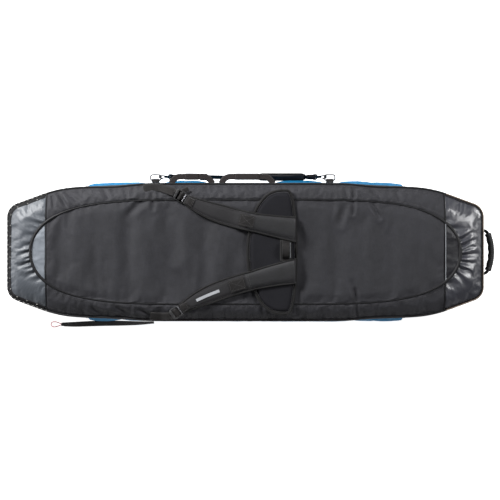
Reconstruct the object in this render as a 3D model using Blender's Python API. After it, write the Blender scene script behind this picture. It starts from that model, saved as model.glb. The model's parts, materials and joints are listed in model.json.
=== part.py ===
"""A padded kiteboard travel bag with backpack straps, lying on its front face.

Frame: +X runs towards the tail end with the grab handle, +Y towards the long side with the carry handles, and
+Z out of the back panel. The origin is the centre of the flat face that the bag lies on. Units are metres.
The bag is a clamshell: a front shell (the root), and a back shell that swings on a fabric hinge along -Y.
Each moving piece is parented to an empty that stands on its joint's axis.
"""

import math

import bmesh
import bpy
from mathutils import Matrix, Vector

# ---- Driving dimensions of the bag's plan -------------------------------------------------------------------
BODY_LENGTH = 1.457
BODY_WIDTH = 0.419
HALF_LENGTH = BODY_LENGTH / 2
HALF_WIDTH = BODY_WIDTH / 2
# A quarter of the outline: corners (x, y) and the radius that rounds each.
LONG_SIDE_END = ((0.300, HALF_WIDTH), 2.0)
LONG_SIDE_BEND = ((0.460, 0.2015), 1.0)
SHOULDER = ((0.575, 0.1925), 0.35)
END_CORNER = ((HALF_LENGTH, 0.1365), 0.042)
ARC_STEP = math.radians(7.5)

OVAL_HALF_LENGTH = 0.656
OVAL_HALF_WIDTH = 0.159
OVAL_POWERS = (5.0, 2.1)  # along its length and its width: a long oval with round tips
OVAL_POINTS = 56

CROSS_SEAM_X = 0.609  # where the coated end caps meet the woven panels
BLUE_END_X = 0.487  # where the coloured side gussets meet the end gussets
HINGE_WEB_X = 0.520  # half the length of the fabric hinge; the zip runs round the rest

# ---- Levels of the shells, from the ground up ------------------------------------------------------------------
PANEL_THICK = 0.006
LINING_THICK = 0.0015
GAP = 0.0004  # between pieces that touch
WALL = 0.006
GUSSET_FOOT_Z = 0.0075
GUSSET_BULGE = 0.0055
GUSSET_BULGE_Z = 0.047
GUSSET_TOP_Z = 0.088
ZIP_Z = 0.097  # where the two halves of the zip meet
TAPE_WIDTH = 0.0062
TAPE_THICK = 0.0015
TAPE_OFFSET = -0.0013  # the tape's outer face, from the outline
COIL_THICK = 0.0034
COIL_OFFSET = -0.0003
COIL_NEAR = 0.0009  # the coil's near edge, from the zip's centre
COIL_FAR = 0.0023
BACK_GUSSET_Z = 0.106
BACK_GUSSET_TOP_Z = 0.118
EDGE_Z = 0.124  # top of the back panel's border at the outline
TOP_Z = 0.150  # top of the flat centre panel
PIPING_R = 0.003
OVAL_PIPING_R = 0.0022
PIPING_SIDES = 6

# ---- Hinge of the clamshell ----------------------------------------------------------------------------------------
HINGE_Y = -HALF_WIDTH - 0.0075

# ---- Backpack harness ----------------------------------------------------------------------------------------------
PAD_LEFT_X = 0.003
PAD_RIGHT_X = 0.159
PAD_HALF_WIDTH = 0.192
PAD_Z = 0.1522
PAD_THICK = 0.010
STRAP_THICK = 0.010
YOKE_X = 0.156
STRAP_ON_PAD_Z = PAD_Z + PAD_THICK + 0.0005
STRAP_ON_PANEL_Z = 0.1526
WEBBING = 0.025
WEBBING_THICK = 0.0018
LADDER_LENGTH = 0.030
LADDER_WIDTH = 0.034
LADDER_THICK = 0.005
# Each shoulder strap's centreline in plan, a cubic curve from the yoke to the buckle.
UPPER_STRAP = ((0.154, 0.068), (0.050, 0.085), (-0.088, 0.105), (-0.183, 0.1615))
LOWER_STRAP = ((0.154, -0.058), (0.037, -0.0775), (-0.112, -0.1175), (-0.196, -0.1745))
STRAP_STEPS = 24
PATCH_STEPS = {"upper": (9, 12), "lower": (10, 13)}  # the steps that each webbing patch covers
LABEL_STEPS = (15, 20)
UPPER_ANCHOR = (-0.312, 0.1945)
LOWER_ANCHOR = (-0.290, -0.1945)

# ---- Carry strap on the +Y side: it hangs from two rings ---------------------------------------------------------
RING_BAR_Y = 0.2230
RING_BAR_Z = 0.052
RING_NOSE_X = -0.279
RING_TAIL_X = 0.262
RING_HALF = 0.016
RING_DEPTH = 0.019
RING_WIRE_R = 0.0020
STRAP_DROOP = math.radians(25)
STRAP_OUT = 0.0115  # from the ring's bar to the middle of the webbing
CARRY_PAD_X = 0.112
CARRY_PAD_LENGTH = 0.148
CARRY_PAD_WIDTH = 0.046
CARRY_PAD_THICK = 0.012
TRIGLIDE_X = -0.130

# ---- Grab handle, zip sliders and pulls on the tail end ----------------------------------------------------------
GRAB_HALF = 0.070
GRAB_PIVOT_X = HALF_LENGTH + 0.0082
GRAB_Z = 0.050
GRIP_X = HALF_LENGTH + 0.0300
GRIP_R = 0.0105
GRIP_BOW = 0.0120
SLIDER_A_Y = -0.0905
SLIDER_B_Y = -0.0735
SLIDER_LENGTH = 0.015
SLIDER_HEIGHT = 0.0125

# ---- Tail strap with its cord loop, lying beside the bag -----------------------------------------------------------
TAIL_STRAP_END = (-0.565, -0.2270)
LOOP_LENGTH = 0.031
LOOP_WIDTH = 0.014
LOOP_CORD_R = 0.0012

BLACK_CLOTH = ("black_cloth", (0.035, 0.036, 0.040), 0.85, 0.0)
GREY_COATED = ("grey_coated", (0.19, 0.20, 0.22), 0.38, 0.0)
BLUE_CLOTH = ("blue_cloth", (0.01, 0.17, 0.42), 0.60, 0.0)
LINING = ("lining", (0.20, 0.21, 0.22), 0.80, 0.0)
PIPING = ("piping", (0.012, 0.012, 0.014), 0.55, 0.0)
WEBBING_BLACK = ("webbing_black", (0.022, 0.022, 0.024), 0.75, 0.0)
PAD_CLOTH = ("pad_cloth", (0.028, 0.028, 0.034), 0.90, 0.0)
PLASTIC = ("plastic_black", (0.020, 0.020, 0.022), 0.40, 0.0)
METAL = ("metal", (0.10, 0.10, 0.11), 0.30, 1.0)
ZIP_BLACK = ("zip_black", (0.015, 0.015, 0.016), 0.45, 0.0)
CORD_RED = ("cord_red", (0.60, 0.06, 0.09), 0.70, 0.0)
LABEL_GREY = ("label_grey", (0.70, 0.71, 0.73), 0.35, 0.0)


# ---- Scene helpers ---------------------------------------------------------------------------------------------------
def clear_scene():
    for old in list(bpy.data.objects):
        bpy.data.objects.remove(old)


def material(spec):
    name, colour, roughness, metallic = spec
    found = bpy.data.materials.get(name)
    if found:
        return found
    made = bpy.data.materials.new(name)
    made.use_nodes = True
    shader = made.node_tree.nodes["Principled BSDF"]
    shader.inputs["Base Color"].default_value = (*colour, 1.0)
    shader.inputs["Roughness"].default_value = roughness
    shader.inputs["Metallic"].default_value = metallic
    return made


def pivot(name, place, parent=None):
    """An empty on a joint's axis; the pieces that move on that joint hang from it."""
    made = bpy.data.objects.new(name, None)
    made.empty_display_size = 0.02
    bpy.context.scene.collection.objects.link(made)
    made.parent = parent
    made.location = Vector(place) - (world_of(parent) if parent else Vector())
    return made


def world_of(empty):
    """Where an empty stands in the row frame; the empties are only moved, never turned."""
    place = Vector(empty.location)
    while empty.parent:
        empty = empty.parent
        place += empty.location
    return place


def solid(name, verts, faces, spec, body, bevel=0.0, smooth_deg=40):
    """One closed solid, given in the row frame, hung from its body's empty."""
    origin = world_of(body)
    build = bmesh.new()
    points = [build.verts.new(Vector(v) - origin) for v in verts]
    for face in faces:
        build.faces.new([points[i] for i in face])
    bmesh.ops.recalc_face_normals(build, faces=build.faces)
    mesh = bpy.data.meshes.new(name)
    build.to_mesh(mesh)
    build.free()
    mesh.materials.append(material(spec))
    mesh.shade_smooth()
    mesh.set_sharp_from_angle(angle=math.radians(smooth_deg))
    made = bpy.data.objects.new(name, mesh)
    bpy.context.scene.collection.objects.link(made)
    made.parent = body
    if bevel:
        edge = made.modifiers.new("rounded_edges", "BEVEL")
        edge.width = bevel
        edge.segments = 1
        edge.limit_method = "ANGLE"
        edge.angle_limit = math.radians(50)
    return made


def cord(name, path, radius, spec, body):
    """A round cord along 3-D points, with flat ends."""
    origin = world_of(body)
    curve = bpy.data.curves.new(name, "CURVE")
    curve.dimensions = "3D"
    curve.bevel_depth = radius
    curve.bevel_resolution = 2
    curve.use_fill_caps = True
    spline = curve.splines.new("POLY")
    spline.points.add(len(path) - 1)
    for point, place in zip(spline.points, path):
        point.co = (*(Vector(place) - origin), 1.0)
    curve.materials.append(material(spec))
    made = bpy.data.objects.new(name, curve)
    bpy.context.scene.collection.objects.link(made)
    made.parent = body
    return made


# ---- Shape makers ------------------------------------------------------------------------------------------------------
def loft(rings, closed_path):
    """Faces between rings of equal point counts, with end caps unless the path closes on itself."""
    count = len(rings[0])
    verts = [p for ring in rings for p in ring]
    faces = []
    spans = len(rings) if closed_path else len(rings) - 1
    for i in range(spans):
        a, b = i * count, ((i + 1) % len(rings)) * count
        for j in range(count):
            k = (j + 1) % count
            faces.append((a + j, a + k, b + k, b + j))
    if not closed_path:
        faces.append(tuple(range(count)))
        faces.append(tuple(range((len(rings) - 1) * count, len(rings) * count)))
    return verts, faces


def prism(outline, low, high, axes=Matrix.Identity(4)):
    """A plan outline raised from low to high, then placed by a matrix."""
    rings = [[axes @ Vector((x, y, z)) for x, y in outline] for z in (low, high)]
    return loft(rings, False)


def ring_plate(outer, inner, low, high, axes=Matrix.Identity(4)):
    """A flat plate with one hole; both outlines have the same number of points."""
    rings = []
    for (ox, oy), (ix, iy) in zip(outer, inner):
        section = ((ox, oy, low), (ox, oy, high), (ix, iy, high), (ix, iy, low))
        rings.append([axes @ Vector(p) for p in section])
    return loft(rings, True)


def ruled_plate(inner, outer, thickness):
    """A sloping plate between two lines of 3-D points."""
    down = Vector((0, 0, -thickness))
    rings = [[Vector(a), Vector(b), Vector(b) + down, Vector(a) + down] for a, b in zip(inner, outer)]
    return loft(rings, False)


def tube(path, radius, sides, closed):
    """A round cord along 3-D points."""
    rings = []
    count = len(path)
    for i, point in enumerate(path):
        before = path[i - 1] if closed or i else point
        after = path[(i + 1) % count] if closed or i < count - 1 else point
        along = (Vector(after) - Vector(before)).normalized()
        side = along.cross(Vector((0, 0, 1))).normalized()
        up = side.cross(along)
        turns = [2 * math.pi * j / sides for j in range(sides)]
        rings.append([Vector(point) + radius * (math.cos(t) * side + math.sin(t) * up) for t in turns])
    return loft(rings, closed)


def ribbon(stations):
    """A flat strap. Each station is (centre, unit vector across, unit normal, width, thickness)."""
    rings = []
    for centre, across, normal, width, thickness in stations:
        half = Vector(across) * (width / 2)
        rise = Vector(normal) * (thickness / 2)
        middle = Vector(centre)
        rings.append([middle - half - rise, middle + half - rise, middle + half + rise, middle - half + rise])
    return loft(rings, False)


def blocks(boxes, cuts=(), axes=Matrix.Identity(4)):
    """The union of square-cut boxes less the cuts, as one closed skin. A box is ((x0, x1), (y0, y1), (z0, z1))."""
    lines = [sorted({round(v, 7) for box in (*boxes, *cuts) for v in box[k]}) for k in range(3)]

    def inside(cell, group):
        middle = [(lines[k][cell[k]] + lines[k][cell[k] + 1]) / 2 for k in range(3)]
        return any(all(box[k][0] < middle[k] < box[k][1] for k in range(3)) for box in group)

    sizes = [len(line) - 1 for line in lines]
    cells = {
        (i, j, k)
        for i in range(sizes[0])
        for j in range(sizes[1])
        for k in range(sizes[2])
        if inside((i, j, k), boxes) and not inside((i, j, k), cuts)
    }
    places, verts, faces = {}, [], []

    def corner(key):
        if key not in places:
            places[key] = len(verts)
            verts.append(axes @ Vector([lines[k][key[k]] for k in range(3)]))
        return places[key]

    for cell in sorted(cells):
        for k in range(3):
            for side in (0, 1):
                beside = list(cell)
                beside[k] += 1 if side else -1
                if tuple(beside) in cells:
                    continue
                u, v = [m for m in range(3) if m != k]
                face = []
                for du, dv in ((0, 0), (1, 0), (1, 1), (0, 1)):
                    key = list(cell)
                    key[k] += side
                    key[u] += du
                    key[v] += dv
                    face.append(corner(tuple(key)))
                faces.append(tuple(face))
    return verts, faces


def placed(origin, along, across, normal):
    """A matrix that puts local x, y, z along three given unit vectors at a point."""
    columns = [Vector(v) for v in (along, across, normal)]
    turn = Matrix([[c[k] for c in columns] for k in range(3)])
    return Matrix.Translation(Vector(origin)) @ turn.to_4x4()


# ---- Curves of the bag's plan ------------------------------------------------------------------------------------------
def fillet(before, corner, after, radius):
    """The arc that rounds a corner, as points about ARC_STEP apart."""
    to_before = (Vector(before) - Vector(corner)).normalized()
    to_after = (Vector(after) - Vector(corner)).normalized()
    half = to_before.angle(to_after) / 2
    centre = Vector(corner) + (to_before + to_after).normalized() * (radius / math.sin(half))
    start = Vector(corner) + to_before * (radius / math.tan(half)) - centre
    turn = math.pi - 2 * half
    steps = max(2, math.ceil(turn / ARC_STEP))
    sign = -1 if to_before.cross(to_after) > 0 else 1
    made = []
    for i in range(steps + 1):
        angle = sign * turn * i / steps
        made.append((
            centre.x + start.x * math.cos(angle) - start.y * math.sin(angle),
            centre.y + start.x * math.sin(angle) + start.y * math.cos(angle),
        ))
    return made


def quarter_outline():
    """Points from the middle of the +Y side to the middle of the +X end."""
    bends = [LONG_SIDE_END, LONG_SIDE_BEND, SHOULDER, END_CORNER]
    corners = [(0.0, HALF_WIDTH), *[place for place, _ in bends], (HALF_LENGTH, 0.0)]
    radii = [radius for _, radius in bends]
    made = [corners[0], (0.16, HALF_WIDTH)]
    for i, radius in enumerate(radii):
        made += fillet(corners[i], corners[i + 1], corners[i + 2], radius)
    return [*made, corners[-1]]


QUARTER = quarter_outline()


def half_width(x):
    """The outline's half width at a place along the bag."""
    x = abs(x)
    for (x0, y0), (x1, y1) in zip(QUARTER, QUARTER[1:]):
        if x0 <= x <= x1 and x1 > x0:
            return y0 + (y1 - y0) * (x - x0) / (x1 - x0)
    return QUARTER[-1][1]


def whole_outline():
    """The closed outline, clockwise seen from above, starting at the middle of the +Y side."""
    right = QUARTER + [(x, -y) for x, y in reversed(QUARTER[:-1])]
    left = [(-x, y) for x, y in reversed(right[1:-1])]
    return right + left


def end_outline(start_x, sign):
    """The open outline round one end, clockwise seen from above, from |x| = start_x."""
    beyond = [(x, y) for x, y in QUARTER if x > start_x + 0.002]
    right = [(start_x, half_width(start_x)), *beyond]
    right += [(x, -y) for x, y in reversed(right[:-1])]
    return right if sign > 0 else [(-x, -y) for x, y in right]


def side_outline(end_x, sign, steps=8):
    """The open outline along one long side, clockwise seen from above, to |x| = end_x."""
    places = [sign * end_x * (2 * i / steps - 1) for i in range(steps + 1)]
    return [(x, sign * half_width(x)) for x in places]


def normals_of(path, closed):
    """At each point of a clockwise path, the outward normal, lengthened at corners to keep offsets parallel."""
    made = []
    count = len(path)
    for i, here in enumerate(path):
        before = path[i - 1] if closed or i else None
        after = path[(i + 1) % count] if closed or i < count - 1 else None
        sides = [(Vector(here) - Vector(before)).normalized()] if before else []
        sides += [(Vector(after) - Vector(here)).normalized()] if after else []
        turned = [Vector((-s.y, s.x)) for s in sides]
        mean = sum(turned, Vector((0, 0))).normalized()
        made.append(mean / max(0.5, mean.dot(turned[0])))
    return made


def offset(path, distance, closed=True):
    return [(x + n.x * distance, y + n.y * distance) for (x, y), n in zip(path, normals_of(path, closed))]


def band(path, profile, thickness, closed):
    """A wall that follows a path. The profile lists (offset outwards, z) up the wall's outer face."""
    rings = []
    for (x, y), n in zip(path, normals_of(path, closed)):
        outer = [(x + n.x * d, y + n.y * d, z) for d, z in profile]
        inner = [(x + n.x * (d - thickness), y + n.y * (d - thickness), z) for d, z in reversed(profile)]
        rings.append([Vector(p) for p in outer + inner])
    return loft(rings, closed)


def oval_at(angle):
    """A point of the seam round the centre panel, a superellipse."""
    c, s = math.cos(angle), math.sin(angle)
    x = math.copysign(abs(c) ** (2 / OVAL_POWERS[0]), c) * OVAL_HALF_LENGTH
    y = math.copysign(abs(s) ** (2 / OVAL_POWERS[1]), s) * OVAL_HALF_WIDTH
    return x, y


def oval():
    """The closed seam, clockwise seen from above. Points crowd towards the ends, where it curves."""
    return [oval_at(math.pi / 2 - 2 * math.pi * i / OVAL_POINTS) for i in range(OVAL_POINTS)]


def oval_half_width(x):
    share = min(1.0, abs(x) / OVAL_HALF_LENGTH)
    return OVAL_HALF_WIDTH * (1 - share ** OVAL_POWERS[0]) ** (1 / OVAL_POWERS[1])


def crossing(path, x):
    """The place where an open path first passes a given x."""
    for (x0, y0), (x1, y1) in zip(path, path[1:]):
        if (x0 - x) * (x1 - x) <= 0 and x0 != x1:
            return x, y0 + (y1 - y0) * (x - x0) / (x1 - x0)
    return path[-1]


def resampled(path, count):
    """Points at equal steps along an open path."""
    lengths = [0.0]
    for a, b in zip(path, path[1:]):
        lengths.append(lengths[-1] + math.dist(a, b))
    made = []
    for i in range(count):
        want = lengths[-1] * i / (count - 1)
        k = max(j for j in range(len(path) - 1) if lengths[j] <= want + 1e-9)
        share = (want - lengths[k]) / (lengths[k + 1] - lengths[k])
        made.append(tuple(u + (v - u) * share for u, v in zip(path[k], path[k + 1])))
    return made


def cubic(points, t):
    """A point and a unit direction on a cubic curve in plan."""
    a, b, c, d = (Vector(p) for p in points)
    s = 1 - t
    place = a * s**3 + b * (3 * s * s * t) + c * (3 * s * t * t) + d * t**3
    along = (b - a) * (3 * s * s) + (c - b) * (6 * s * t) + (d - c) * (3 * t * t)
    return place, along.normalized()


def border_z(x, y):
    """Height of the back panel's top at a place in plan."""
    inner, outer = oval_half_width(x), half_width(x)
    share = max(0.0, min(1.0, (abs(y) - inner) / (outer - inner)))
    return TOP_Z + (EDGE_Z - TOP_Z) * share


# ---- Front shell ---------------------------------------------------------------------------------------------------------
def front_shell(root):
    outline = whole_outline()
    panel = offset(outline, -PIPING_R - GAP)
    solid("front_panel", *prism(panel, 0.0, PANEL_THICK), BLACK_CLOTH, root)
    lining = offset(outline, -WALL - 0.002)
    low = PANEL_THICK + GAP
    solid("front_lining", *prism(lining, low, low + LINING_THICK), LINING, root)
    piping = [(x, y, PIPING_R + 0.0008) for x, y in outline]
    solid("front_piping", *tube(piping, PIPING_R, PIPING_SIDES, True), PIPING, root)

    side = [(0.0, GUSSET_FOOT_Z), (GUSSET_BULGE * 0.75, 0.024), (GUSSET_BULGE, GUSSET_BULGE_Z),
            (GUSSET_BULGE * 0.75, 0.070), (0.0, GUSSET_TOP_Z)]
    end = [(d * 0.6, z) for d, z in side]
    cut = BLUE_END_X - GAP / 2
    solid("front_gusset_handle_side", *band(side_outline(cut, 1), side, WALL, False), BLUE_CLOTH, root)
    solid("front_gusset_hinge_side", *band(side_outline(cut, -1), side, WALL, False), BLUE_CLOTH, root)
    for name, sign in (("front_gusset_tail", 1), ("front_gusset_nose", -1)):
        path = end_outline(BLUE_END_X + GAP / 2, sign)
        solid(name, *band(path, end, WALL, False), BLACK_CLOTH, root)

    zip_path = zip_outline()
    tape_low = GUSSET_TOP_Z + GAP
    tape = [(TAPE_OFFSET, tape_low), (TAPE_OFFSET, tape_low + TAPE_WIDTH)]
    solid("front_zip_tape", *band(zip_path, tape, TAPE_THICK, False), ZIP_BLACK, root)
    coil = [(COIL_OFFSET, ZIP_Z - COIL_FAR), (COIL_OFFSET, ZIP_Z - COIL_NEAR)]
    solid("front_zip_coil", *band(zip_path, coil, COIL_THICK, False), ZIP_BLACK, root)
    web = [(0.0, tape_low), (0.0, ZIP_Z - COIL_NEAR)]
    solid("hinge_web", *band(side_outline(HINGE_WEB_X - 0.004, -1), web, 0.002, False), BLACK_CLOTH, root)


def zip_outline():
    """The zip's path: from the -Y side near the tail, round the tail, the +Y side and the nose."""
    tail = [(x, y) for x, y in QUARTER if x > HINGE_WEB_X]
    start = [(HINGE_WEB_X, half_width(HINGE_WEB_X)), *tail]
    half = QUARTER[:1] + [p for p in QUARTER[1:] if p[0] < HINGE_WEB_X] + start
    right = half + [(x, -y) for x, y in reversed(start[:-1])]
    left = [(-x, y) for x, y in right[1:]]
    return list(reversed(left)) + right


# ---- Back shell ------------------------------------------------------------------------------------------------------------
def back_shell(lid):
    outline = whole_outline()
    zip_path = zip_outline()
    tape_high = BACK_GUSSET_Z - GAP
    tape = [(TAPE_OFFSET, tape_high - TAPE_WIDTH), (TAPE_OFFSET, tape_high)]
    solid("back_zip_tape", *band(zip_path, tape, TAPE_THICK, False), ZIP_BLACK, lid)
    coil = [(COIL_OFFSET, ZIP_Z + COIL_NEAR), (COIL_OFFSET, ZIP_Z + COIL_FAR)]
    solid("back_zip_coil", *band(zip_path, coil, COIL_THICK, False), ZIP_BLACK, lid)
    wall = [(0.0, BACK_GUSSET_Z), (0.0, BACK_GUSSET_TOP_Z)]
    solid("back_gusset", *band(outline, wall, WALL, True), BLACK_CLOTH, lid)
    piping_z = BACK_GUSSET_TOP_Z + PIPING_R + 0.0005
    edge = [(x, y, piping_z) for x, y in outline]
    solid("back_edge_piping", *tube(edge, PIPING_R, PIPING_SIDES, True), PIPING, lid)

    clear = OVAL_PIPING_R + GAP
    centre_panels(lid, clear)
    seam = [(x, y, TOP_Z - 0.0010) for x, y in oval()]
    solid("oval_piping", *tube(seam, OVAL_PIPING_R, PIPING_SIDES, True), PIPING, lid)
    under = TOP_Z - 0.007 - GAP
    solid("back_lining", *prism(offset(oval(), -0.010), under - LINING_THICK, under), LINING, lid)
    border_panels(lid, clear)
    end_caps(lid, clear)


def centre_panels(lid, clear):
    """The flat panel inside the oval seam, with a coated piece beyond each cross seam."""
    seam = offset(oval(), -clear)
    top = sorted((x, y) for x, y in seam if y > 0.001)
    cut = CROSS_SEAM_X - GAP
    along = [crossing(top, -cut), *[p for p in top if abs(p[0]) < cut], crossing(top, cut)]
    middle = along + [(x, -y) for x, y in reversed(along)]
    solid("back_centre_panel", *prism(middle, TOP_Z - 0.007, TOP_Z), BLACK_CLOTH, lid)
    start = CROSS_SEAM_X + GAP
    half = [crossing(top, start), *[p for p in top if p[0] > start]]
    tip = half + [(max(seam)[0], 0.0)] + [(x, -y) for x, y in reversed(half)]
    for name, sign in (("centre_end_tail", 1), ("centre_end_nose", -1)):
        solid(name, *prism([(sign * x, y) for x, y in tip], TOP_Z - 0.007, TOP_Z), GREY_COATED, lid)


def border_panels(lid, clear):
    """The two long panels between the oval seam and the edge."""
    end = CROSS_SEAM_X - GAP
    seam = offset(oval(), clear)
    half = sorted((x, y) for x, y in seam if y > 0)
    inner = [crossing(half, -end), *[p for p in half if abs(p[0]) < end], crossing(half, end)]
    for name, sign in (("back_border_handle_side", 1), ("back_border_hinge_side", -1)):
        top = [(x, sign * y, TOP_Z) for x, y in inner]
        edge = [(x, sign * (half_width(x) - PIPING_R - GAP), EDGE_Z) for x, y in inner]
        solid(name, *ruled_plate(top, edge, PANEL_THICK), BLACK_CLOTH, lid)


def end_caps(lid, clear):
    """The coated panels round each end, from the oval seam to the edge."""
    start = CROSS_SEAM_X + GAP
    seam = offset(oval(), clear)
    top = sorted((x, y) for x, y in seam if y > 0.001 and x > 0)
    beyond = [p for p in top if p[0] > start]
    tip = max(seam)[0]
    half = [crossing(top, start), *beyond]
    inner = half + [(tip, 0.0)] + [(x, -y) for x, y in reversed(half)]
    edge_path = offset(end_outline(start, 1), -PIPING_R - GAP, closed=False)
    edge_path[0] = (start, edge_path[0][1])
    edge_path[-1] = (start, edge_path[-1][1])
    outer = resampled(edge_path, len(inner))
    for name, sign in (("tail_cap", 1), ("nose_cap", -1)):
        crown = [(sign * x, y, TOP_Z) for x, y in inner]
        edge = [(sign * x, y, EDGE_Z) for x, y in outer]
        solid(name, *ruled_plate(crown, edge, PANEL_THICK), GREY_COATED, lid)


# ---- Backpack harness --------------------------------------------------------------------------------------------------------
def lumbar_pad(lid):
    """A D-shaped pad: bowed towards the nose, nearly straight towards the tail."""
    points = []
    steps = 24
    for i in range(steps):
        angle = 2 * math.pi * i / steps
        y = PAD_HALF_WIDTH * math.sin(angle)
        bow = PAD_RIGHT_X - PAD_LEFT_X if math.cos(angle) < 0 else 0.040
        power = 1.0 if math.cos(angle) < 0 else 0.55
        x = PAD_RIGHT_X - 0.040 + bow * math.copysign(abs(math.cos(angle)) ** power, math.cos(angle))
        if math.cos(angle) < 0:
            x = PAD_RIGHT_X - 0.040 - (bow - 0.040) * abs(math.cos(angle)) ** 0.8
        points.append((x, y))
    solid("lumbar_pad", *prism(points, PAD_Z, PAD_Z + PAD_THICK), PAD_CLOTH, lid)


def strap_height(x):
    """Height of a shoulder strap's underside: on the pad near the yoke, on the panel towards the buckle."""
    share = max(0.0, min(1.0, (0.008 - x) / 0.050))
    ease = share * share * (3 - 2 * share)
    return STRAP_ON_PAD_Z + (STRAP_ON_PANEL_Z - STRAP_ON_PAD_Z) * ease


def strap_width(t):
    """A shoulder strap is broad at the yoke and narrows over its last third to the buckle."""
    if t < 0.65:
        return 0.079 - 0.019 * min(1.0, t / 0.35)
    return 0.060 - 0.030 * ((t - 0.65) / 0.35) ** 1.5


def strap_stations(curve, first, last, lift, width, thick):
    """Stations of a shoulder strap from step first to last of STRAP_STEPS, or of a flat piece lifted onto it."""
    stations = []
    for i in range(first, last + 1):
        t = i / STRAP_STEPS
        place, along = cubic(curve, t)
        across = Vector((0, -1, 0)) if i == 0 else Vector((-along.y, along.x, 0))
        tall = thick if thick < 0.005 or i < STRAP_STEPS - 1 else thick * 0.6
        centre = (place.x, place.y, strap_height(place.x) + lift + tall / 2)
        stations.append((centre, across, (0, 0, 1), width or strap_width(t), tall))
    return stations


def shoulder_strap(name, curve, strap):
    stations = strap_stations(curve, 0, STRAP_STEPS, 0.0, None, STRAP_THICK)
    solid(name, *ribbon(stations), BLACK_CLOTH, strap)


def on_strap(name, curve, steps, width, thick, spec, strap):
    """A flat piece sewn onto a shoulder strap."""
    stations = strap_stations(curve, *steps, STRAP_THICK + GAP, width, thick)
    solid(name, *ribbon(stations), spec, strap)


def ladder_lock(name, curve, buckle):
    """A three-bar buckle on the end of a shoulder strap, built in its own axes: x along the strap."""
    place, along = cubic(curve, 1.0)
    across = Vector((-along.y, along.x, 0))
    start = place + along * 0.0025
    base = strap_height(place.x) + 0.0006
    axes = placed((start.x, start.y, base), (along.x, along.y, 0), across, (0, 0, 1))
    half, inner = LADDER_WIDTH / 2, LADDER_WIDTH / 2 - 0.0035
    frame = ((0.0, LADDER_LENGTH), (-half, half), (0.0, LADDER_THICK))
    slots = [
        ((0.0045, 0.0125), (-inner, inner), (-0.001, LADDER_THICK + 0.001)),
        ((0.0165, 0.0245), (-inner, inner), (-0.001, LADDER_THICK + 0.001)),
    ]
    lip = ((LADDER_LENGTH - 0.004, LADDER_LENGTH + 0.003), (-inner, inner), (LADDER_THICK - 0.002, LADDER_THICK + 0.002))
    solid(name, *blocks([frame, lip], slots, axes), PLASTIC, buckle, bevel=0.0006)


def ladder_axis(curve):
    """A point on the ladder lock's first bar, which it tilts about."""
    place, along = cubic(curve, 1.0)
    start = place + along * 0.0045
    return Vector((start.x, start.y, strap_height(place.x) + 0.0006 + LADDER_THICK / 2))


def strap_webbing(name, curve, anchor, lid):
    """The webbing from a ladder lock to the seam at the bag's edge."""
    place, along = cubic(curve, 1.0)
    start = place + along * (LADDER_LENGTH + 0.0070)
    steps = 6
    path = [start.lerp(Vector(anchor), i / steps) for i in range(steps + 1)]
    centres = [Vector((p.x, p.y, border_z(p.x, p.y) + 0.0035)) for p in path]
    tangent = (centres[-1] - centres[0]).normalized()
    stations = []
    for point, centre in zip(path, centres):
        normal = slope_normal(point)
        across = normal.cross(tangent).normalized()
        stations.append((centre, across, normal, WEBBING, WEBBING_THICK))
    solid(name, *ribbon(stations), WEBBING_BLACK, lid)


def slope_normal(point):
    """The border's upward normal at a place in plan, across the bag only."""
    side = math.copysign(1.0, point.y)
    step = 0.004
    rise = border_z(point.x, abs(point.y) + step) - border_z(point.x, abs(point.y) - step)
    return Vector((0, -side * rise / (2 * step), 1)).normalized()


def harness(lid, straps, buckles):
    lumbar_pad(lid)
    curves = {"upper": UPPER_STRAP, "lower": LOWER_STRAP}
    anchors = {"upper": UPPER_ANCHOR, "lower": LOWER_ANCHOR}
    for side, curve in curves.items():
        shoulder_strap(f"shoulder_strap_{side}", curve, straps[side])
        on_strap(f"strap_patch_{side}", curve, PATCH_STEPS[side], 0.036, 0.0020, WEBBING_BLACK, straps[side])
        ladder_lock(f"ladder_lock_{side}", curve, buckles[side])
        strap_webbing(f"strap_webbing_{side}", curve, anchors[side], lid)
    on_strap("reflective_label", LOWER_STRAP, LABEL_STEPS, 0.0100, 0.0010, LABEL_GREY, straps["lower"])
    haul_loop(lid)


def haul_loop(lid):
    """An arch of webbing over the pad, between the two yokes."""
    steps = 10
    middle_y, half, rise = 0.005, 0.0235, 0.017
    stations = []
    for i in range(steps + 1):
        angle = math.pi * i / steps
        y = middle_y - half * math.cos(angle)
        z = STRAP_ON_PAD_Z + 0.0012 + rise * math.sin(angle)
        tangent = Vector((0, half * math.sin(angle) + 0.004, rise * math.cos(angle))).normalized()
        normal = Vector((0, -tangent.z, tangent.y))
        stations.append(((0.123, y, z), (1, 0, 0), normal, WEBBING, 0.0022))
    solid("haul_loop", *ribbon(stations), WEBBING_BLACK, lid)


# ---- Carry handles on the +Y side --------------------------------------------------------------------------------------------
CARRY_HANDLES = {"nose": (-0.2385, -0.0915), "tail": (-0.0845, 0.0945)}
CARRY_PIVOT_Y = HALF_WIDTH + 0.0030
CARRY_PIVOT_Z = 0.1120
CARRY_REACH_Y = 0.2410


def carry_handle(name, ends, handle):
    """A flat loop of webbing that stands out from the edge."""
    near, far = ends
    root_y, out_y, wide, leg, lean = CARRY_PIVOT_Y - 0.0022, CARRY_REACH_Y, 0.0195, 0.018, 0.022
    points = [
        (near, root_y), (near + lean, out_y), (far - lean, out_y), (far, root_y),
        (far - leg, root_y), (far - leg - lean * 0.45, out_y - wide),
        (near + leg + lean * 0.45, out_y - wide), (near + leg, root_y),
    ]
    low = CARRY_PIVOT_Z - 0.0018
    solid(name, *prism(points, low, low + 0.0036), WEBBING_BLACK, handle, bevel=0.0006)


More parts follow.
